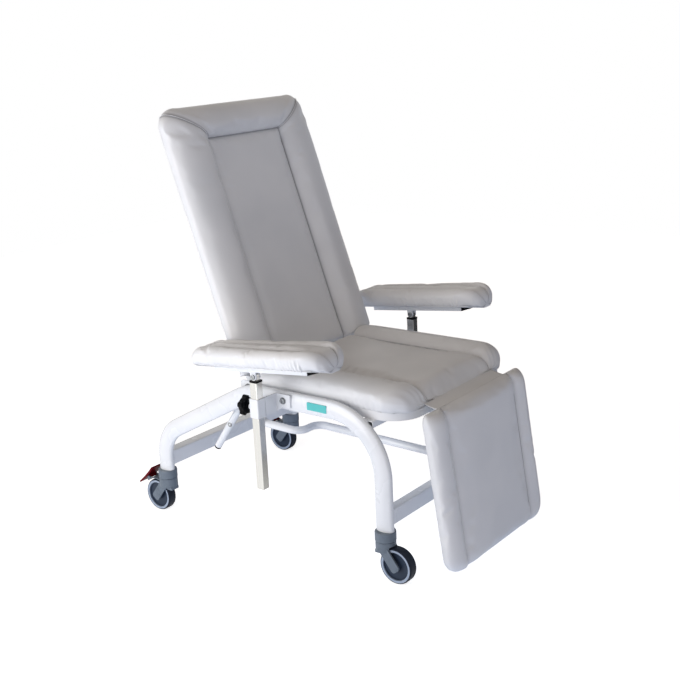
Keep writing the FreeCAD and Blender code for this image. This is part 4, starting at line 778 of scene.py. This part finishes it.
def backOutline():
    # for each station round the cushion: a point on the panel's seam and one on the rounded outline, so that
    # one station runs along each mitre
    half, seamHalf, top, corner = back["halfWidth"], back["seamHalf"], back["topSeam"], back["corner"]
    length, bend = back["length"], top - back["fanBelow"]
    low = stationLine(bend * 2, back["spacing"], back["bottomRound"], back["fanTop"])
    low = low[low <= bend]
    share = np.linspace(0, 1, back["fanSteps"] + 1)[1:]
    arc = corner * np.pi / 4
    straight = (length - corner) - bend
    walk = share * (straight + arc)
    angle = np.clip((walk - straight) / corner, 0, None)
    sideOut = np.stack([half - corner * (1 - np.cos(angle)),
                        np.where(walk < straight, bend + walk, length - corner + corner * np.sin(angle))], 1)
    sideIn = np.stack([np.full_like(share, seamHalf), bend + share * (top - bend)], 1)
    lowOut = np.stack([np.full_like(low, half), low], 1)
    lowIn = np.stack([np.full_like(low, seamHalf), low], 1)
    flat = half - corner
    reach = flat + arc
    walk = share * reach
    angle = np.clip(arc - walk, 0, None) / corner
    topOut = np.stack([np.where(walk < arc, flat + corner * np.sin(angle), reach - walk),
                       np.where(walk < arc, length - corner * (1 - np.cos(angle)), length)], 1)
    topIn = np.stack([seamHalf * (1 - share), np.full_like(share, top)], 1)
    inner = np.concatenate([lowIn, sideIn, topIn])
    outer = np.concatenate([lowOut, sideOut, topOut])
    mitre = len(low) + len(share) - 1
    mirrored = np.array([-1, 1])
    inner, outer = (np.concatenate([line, line[-2::-1] * mirrored]) for line in (inner, outer))
    return inner, outer, mitre


def makeBackCushion():
    # columns run from the spine over the panel, up and over the bolster, round the side and back to the spine
    inner, outer, mitre = backOutline()
    rows = len(inner)
    spine = np.stack([np.zeros(rows), np.minimum(inner[:, 1], back["topSeam"] - back["seamHalf"])], 1)
    ends = endShare(inner[:, 1], back["bottomRound"], back["bottomPower"])
    rise = (back["least"] + (1 - back["least"]) * ends)[:, None, None]
    spine, seam, edge = spine[:, None], inner[:, None], outer[:, None]
    way = (edge - seam) / np.linalg.norm(edge - seam, axis=2, keepdims=True)
    wrap = np.clip(inner[:, 1] / back["wrapFrom"], 0, 1)[:, None, None] ** 2
    ground = back["clear"] * (1 - wrap)
    lift = ground + back["lift"] * wrap * way[:, :, :1] ** 2
    foot, board = edge - way * back["draw"], edge - way * back["boardInset"]
    plan, height = crossSection(back, spine, seam, edge, foot, board, rise, lift, ground)
    outside = np.clip((np.abs(plan[:, :, 0]) - back["raiseFrom"]) / back["raiseOver"], 0, 1)
    near = np.clip(1 - plan[:, :, 1] / back["raiseFade"], 0, 1)
    up = back["bottom"] + (plan[:, :, 1] + back["cornerRaise"] * outside * near)
    points = leaning(back, backPivot, plan[:, :, 0], up, height)
    columns = height.shape[1]
    seamColumn, footColumn = back["steps"]["panel"], columns - 1 - back["steps"]["base"]
    mitres = [mitre, rows - 1 - mitre]
    onSeam, onFoot = np.zeros((rows, columns)), np.zeros((rows, columns))
    onSeam[:, seamColumn] = 1
    onSeam[mitres, seamColumn:footColumn] = 1
    onFoot[:, footColumn] = 1
    held = onSeam.copy()
    held[:, footColumn:] = 1
    held[[0, -1]] = 1
    row, column = np.arange(rows)[:, None], np.arange(columns)[None]
    fromMitre = np.minimum(np.abs(row - mitres[0]), np.abs(row - mitres[1]))
    swell = back["mitreDip"] * np.clip(1 - fromMitre / back["mitreRows"], 0, 1) ** 2
    swell = swell * (column > seamColumn) * (column < footColumn)
    first = np.arange(columns)
    lowerEnd = np.concatenate([first, (rows - 1) * columns + first[-2:0:-1]]).tolist()
    marks = {"seam": onSeam, "foot": onFoot, "pin": held, "swell": swell}
    finishCushion("backCushion", points, gridFaces(rows, columns) + [lowerEnd], marks,
                  "backrest", ["back_cushion"], back)
    return [points[number, seamColumn:footColumn] for number in mitres]


mitreLines = makeBackCushion()
print("back cushion made")


# Welts: thin cords of vinyl on the seams that show one
welt = {"radius": 0.0013, "mitreRadius": 0.0010, "endRows": 6}


def makeWelts():
    ends = slice(welt["endRows"], -welt["endRows"])  # a welt stops short of its seam's rounded ends
    for number, path in enumerate(mitreLines, 1):
        tube("mitreWelt_" + str(number), path, welt["mitreRadius"], "vinyl_board", "backrest")
    for number, path in enumerate(seatFeet, 1):
        tube("seatWelt_" + str(number), path[ends], welt["radius"], "vinyl_board", "frame")
    for side in ("right", "left"):
        for number, path in enumerate(padFeet[side], 1):
            name = "padWelt_" + side + "_" + str(number)
            tube(name, path[ends], welt["radius"], "vinyl_board", "armrest_" + side)


makeWelts()
print("welts made")


# Hinge flap of vinyl between seat and legrest
flap = {
    "half": 0.172, "thickness": 0.0022, "sag": 0.0035, "sagForward": 0.6, "edgeRoll": 0.0035,
    "rollWidth": 0.012, "start": (0.010, 0.010), "end": (0.008, 0.019), "rows": 17, "columns": 49,
}


def makeFlap():
    # a sheet from the seat's front edge down to the legrest's top edge, sagging a little between them, its
    # two side edges rolled forward
    share = np.linspace(0, 1, flap["rows"])[:, None]
    x = np.linspace(-flap["half"], flap["half"], flap["columns"])[None, :]
    start = np.array([seatLow[1] + flap["start"][0], seatLow[2] + flap["start"][1]])
    end = legPlace(0.0, *flap["end"])[1:]
    rollShare = np.clip((np.abs(x) - flap["half"] + flap["rollWidth"]) / flap["rollWidth"], 0, 1)
    roll = flap["edgeRoll"] * rollShare ** 2
    bow = flap["sag"] * np.sin(np.pi * share)
    y = start[0] + (end[0] - start[0]) * share - roll * np.sin(np.pi * share) + flap["sagForward"] * bow
    z = start[1] + (end[1] - start[1]) * share - bow + 0 * x
    points = np.stack([x + 0 * share, y, z], 2)
    faces = gridFaces(flap["rows"], flap["columns"])
    piece = meshObject("hingeFlap", points, faces, materials["vinyl_board"])
    wall = piece.modifiers.new("Wall", "SOLIDIFY")
    wall.thickness = flap["thickness"]
    wall.offset = 0
    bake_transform(piece, "frame", "legrest", start=(0, start[0], start[1]), end=(0, end[0], end[1]))


makeFlap()
print("hinge flap made")


# Screw heads with hexagon sockets
screw = {
    "headRadius": 0.0072, "washerRadius": 0.0098, "washer": 0.0012, "head": 0.0052, "round": 0.0010,
    "socket": 0.0040, "depth": 0.0045, "lip": 0.0006, "lipDepth": 0.0003, "drillDepth": 0.0008,
    "roundShare": 0.3, "lipHexagon": 0.6,  # the round's middle, and how far the lip is a hexagon
    "sunk": 0.0004, "point": 0.0001,  # how far the back lies in its seat, and the radius of a closed end
    "bracketSunk": 0.0048,
    "tiltHead": 0.0016, "tiltSunk": 0.0006,
    "leverHead": 0.0022, "leverSunk": 0.0012,
    "leverPlace": (-0.2745, -0.262, 0.326),  # y is measured from the rear castors' axis
}


def screwProfile(head, washer):
    # radius, distance along the axis and hexagon share, from the washer's back to the socket's floor
    value = screw
    rim, bevel, socket, sunk = value["headRadius"], value["round"], value["socket"], -value["sunk"]
    top, cut = washer + head, bevel * value["roundShare"]
    rows = [(value["point"], sunk, 0)]
    if washer:
        rows += [(value["washerRadius"], sunk, 0), (value["washerRadius"], washer, 0)]
    return rows + [
        (rim, max(washer, sunk), 0), (rim, top - bevel, 0), (rim - cut, top - cut, 0),
        (rim - bevel, top, 0), (socket + value["lip"], top, value["lipHexagon"]),
        (socket, top - value["lipDepth"], 1),
        (socket, top - value["depth"], 1), (value["point"], top - value["depth"] - value["drillDepth"], 0),
    ]


def makeScrews():
    low, high = boxOf("bracket_bolts")
    middle = (low + high) / 2
    for side, way, face in (("right", -1, low), ("left", 1, high)):
        turned("bracketScrew_" + side, (face[0] - way * screw["bracketSunk"], middle[1], middle[2]), way,
               screwProfile(screw["head"], screw["washer"]), "zinc_steel", "frame")
        pivot, boltLow = jointPlace("arm_tilt_" + side), boxOf("arm_tilt_bolt_" + side)[0]
        turned("tiltScrew_" + side, (boltLow[0] + screw["tiltSunk"], pivot[1], pivot[2]), -1,
               screwProfile(screw["tiltHead"], 0.0), "zinc_steel", "armrest_" + side)
    x, y, z = screw["leverPlace"]
    turned("leverScrew", (x + screw["leverSunk"], y + axisShift, z), -1,
           screwProfile(screw["leverHead"], 0.0), "zinc_steel", "lever")


makeScrews()
print("screw heads made")


# Weld beads where the two lower crossbars meet the rails
weld = {
    "radius": 0.0021, "ripple": 0.16, "pitch": 0.0034, "sides": 8, "points": 220, "sunk": 0.0004,
    "inset": 0.0006, "corner": 0.005, "cornerTurns": 7,
    "railX": 0.2935, "railHalfWidth": 0.015, "railHalfDepth": 0.027, "most": 0.98,
}


def makeWelds():
    # a rippled bead round each bar's end, its x from the rail's oval section
    for node in ("front_crossbar", "rear_crossbar"):
        low, high = boxOf(node)
        ring = roundedOutline(high[1] + weld["inset"], low[1] - weld["inset"], low[2] - weld["inset"],
                              high[2] + weld["inset"], weld["corner"], weld["cornerTurns"])
        ring = np.concatenate([ring, ring[:1]])
        walk = walkAlong(ring)
        even = np.linspace(0, walk[-1], weld["points"])
        y, z = np.interp(even, walk, ring[:, 0]), np.interp(even, walk, ring[:, 1])
        across = np.clip((y - (low[1] + high[1]) / 2) / weld["railHalfDepth"], -weld["most"], weld["most"])
        inner = weld["railX"] - weld["railHalfWidth"] * np.sqrt(1 - across ** 2)
        for side, way in (("right", -1), ("left", 1)):
            path = np.stack([way * (inner - weld["sunk"]), y, z], 1)
            tube(node.replace("_crossbar", "Weld_") + side, path, weld["radius"], "white_paint", "frame",
                 weld["ripple"], weld["pitch"], weld["sides"])


makeWelds()
print("weld beads made")


# Bare plate on the right rail
plate = {  # y is measured from the rear castors' axis
    "rear": -0.589, "front": -0.655, "low": 0.4405, "high": 0.462, "corner": 0.002, "cornerTurns": 5,
    "thickness": 0.0008, "sunk": 0.004,
}


def makePlate():
    # a thin rounded rectangle that lies on the rail's outer face
    face = boxOf("side_rail_right")[0][0]
    ring = roundedOutline(plate["rear"] + axisShift, plate["front"] + axisShift, plate["low"], plate["high"],
                          plate["corner"], plate["cornerTurns"])
    count = len(ring)
    outer, sunk = face - plate["thickness"], face + plate["sunk"]
    points = np.concatenate([np.column_stack([np.full(count, x), ring]) for x in (outer, sunk)])
    faces = gridFaces(2, count, True) + [list(range(count)), list(range(2 * count - 1, count - 1, -1))]
    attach(meshObject("sidePlate", points, faces, materials["teal_plate"], smooth=False), "frame")


makePlate()
print("plate made")


# Floor and light
studio = {
    "floor": 9.0, "paper": colour(0.86, 0.86, 0.86),
    "floorSeen": 0.78, "floorGlow": colour(0.205, 0.28, 0.44),  # what it shines to the camera and the chair
    "mirrorLeft": 1.15, "mirrorRight": 0.33, "mirrorFrom": -0.6, "mirrorTo": 0.2,  # in reflections, along x
    "world": 0.34, "left": 2.60, "right": 0.50,
    "low": colour(0.86, 0.87, 0.97), "high": colour(0.47, 0.39, 0.31), "lowUntil": 0.05, "highFrom": 0.75,
    "card": {"place": (1.25, -0.55, 0.55), "size": 1.3, "tone": colour(0.05, 0.05, 0.055)},
    "lamps": {  # watts, place, what it is aimed at, size, colour
        "keyLamp": (17.0, (-2.10, 0.72, 0.90), (0, 0.1, 0.6), 1.3, (1.0, 0.99, 0.97)),
        "bounceLamp": (4.4, (-1.7, 0.25, 0.45), (0, 0.2, 0.7), 0.9, (0.99, 0.99, 1.0)),
        "fillLamp": (3.0, (0.4, -3.6, 1.6), (0, 0, 0.4), 2.2, (0.75, 0.87, 1.0)),
    },
}
pureWhite = colour(1, 1, 1)


def stagePlane(name, **plane):
    bpy.ops.mesh.primitive_plane_add(**plane)
    sheet = bpy.context.object
    sheet.name = name
    return sheet


def glowing(tree, tone, strength):
    return shaderNode(tree, "Emission", {"Color": tone, "Strength": strength}).outputs[0]


def joined(tree, kind, *inputs):
    return shaderNode(tree, kind, dict(enumerate(inputs))).outputs[0]


def makeFloor():
    # paper that shines white to the camera and in reflections, and keeps the chair's shadow
    floor = stagePlane("studioFloor", size=studio["floor"], location=(0, 0, 0))
    material, tree, bsdf = newMaterial("floorPaper", Roughness=0.9)
    bsdf.inputs["Base Color"].default_value = studio["paper"]
    path = shaderNode(tree, "LightPath").outputs
    seen = joined(tree, "AddShader", bsdf.outputs[0], glowing(tree, pureWhite, studio["floorSeen"]))
    unseen = joined(tree, "AddShader", bsdf.outputs[0], glowing(tree, studio["floorGlow"], 1.0))
    place = shaderNode(tree, "SeparateXYZ", {"Vector": objectPoint(tree)})
    shine = spread(tree, place.outputs["X"], studio["mirrorLeft"], studio["mirrorRight"],
                   studio["mirrorFrom"], studio["mirrorTo"])
    other = joined(tree, "MixShader", path["Is Glossy Ray"], unseen, glowing(tree, pureWhite, shine))
    pick = joined(tree, "MixShader", path["Is Camera Ray"], other, seen)
    tree.links.new(pick, tree.nodes["Material Output"].inputs["Surface"])
    floor.data.materials.append(material)


def makeWorld():
    # light that is stronger from the picture's left and dimmer from above; white to camera and reflections
    world = bpy.data.worlds.new("studioWorld")
    scene.world = world
    world.use_nodes = True
    tree = world.node_tree
    sky = tree.nodes["Background"]
    way = shaderNode(tree, "SeparateXYZ", {"Vector": shaderNode(tree, "TexCoord").outputs["Generated"]})
    height = spread(tree, way.outputs["Z"], 0.0, 1.0, studio["lowUntil"], studio["highFrom"])
    tree.links.new(blendColours(tree, height, studio["low"], studio["high"]), sky.inputs["Color"])
    left, right = studio["left"] * studio["world"], studio["right"] * studio["world"]
    tree.links.new(spread(tree, way.outputs["X"], left, right, -1.0, 1.0), sky.inputs["Strength"])
    white = shaderNode(tree, "Background", {"Color": pureWhite, "Strength": 1.0})
    path = shaderNode(tree, "LightPath").outputs
    seen = calculate(tree, "MAXIMUM", path["Is Camera Ray"], path["Is Glossy Ray"])
    seen = calculate(tree, "MAXIMUM", seen, path["Is Transmission Ray"])
    pick = joined(tree, "MixShader", seen, sky.outputs[0], white.outputs[0])
    tree.links.new(pick, tree.nodes["World Output"].inputs["Surface"])


def makeLamps():
    for name, (power, place, target, size, tone) in studio["lamps"].items():
        data = bpy.data.lights.new(name, "AREA")
        data.energy = power
        data.size = size
        data.color = tone
        lamp = bpy.data.objects.new(name, data)
        lamp.location = place
        lamp.rotation_mode = "QUATERNION"
        lamp.rotation_quaternion = (Vector(target) - Vector(place)).to_track_quat("-Z", "Y")
        scene.collection.objects.link(lamp)


def makeCard():
    # a dark card on the chair's left that only reflections see
    value = studio["card"]
    card = stagePlane("darkCard", size=value["size"], location=value["place"], rotation=(0, math.pi / 2, 0))
    card.visible_camera = card.visible_diffuse = card.visible_shadow = card.visible_transmission = False
    material, tree = newMaterial("darkCardPaper", Roughness=1.0)[:2]
    tree.links.new(glowing(tree, value["tone"], 1.0), tree.nodes["Material Output"].inputs["Surface"])
    card.data.materials.append(material)


makeFloor()
makeWorld()
makeLamps()
makeCard()
print("studio made")
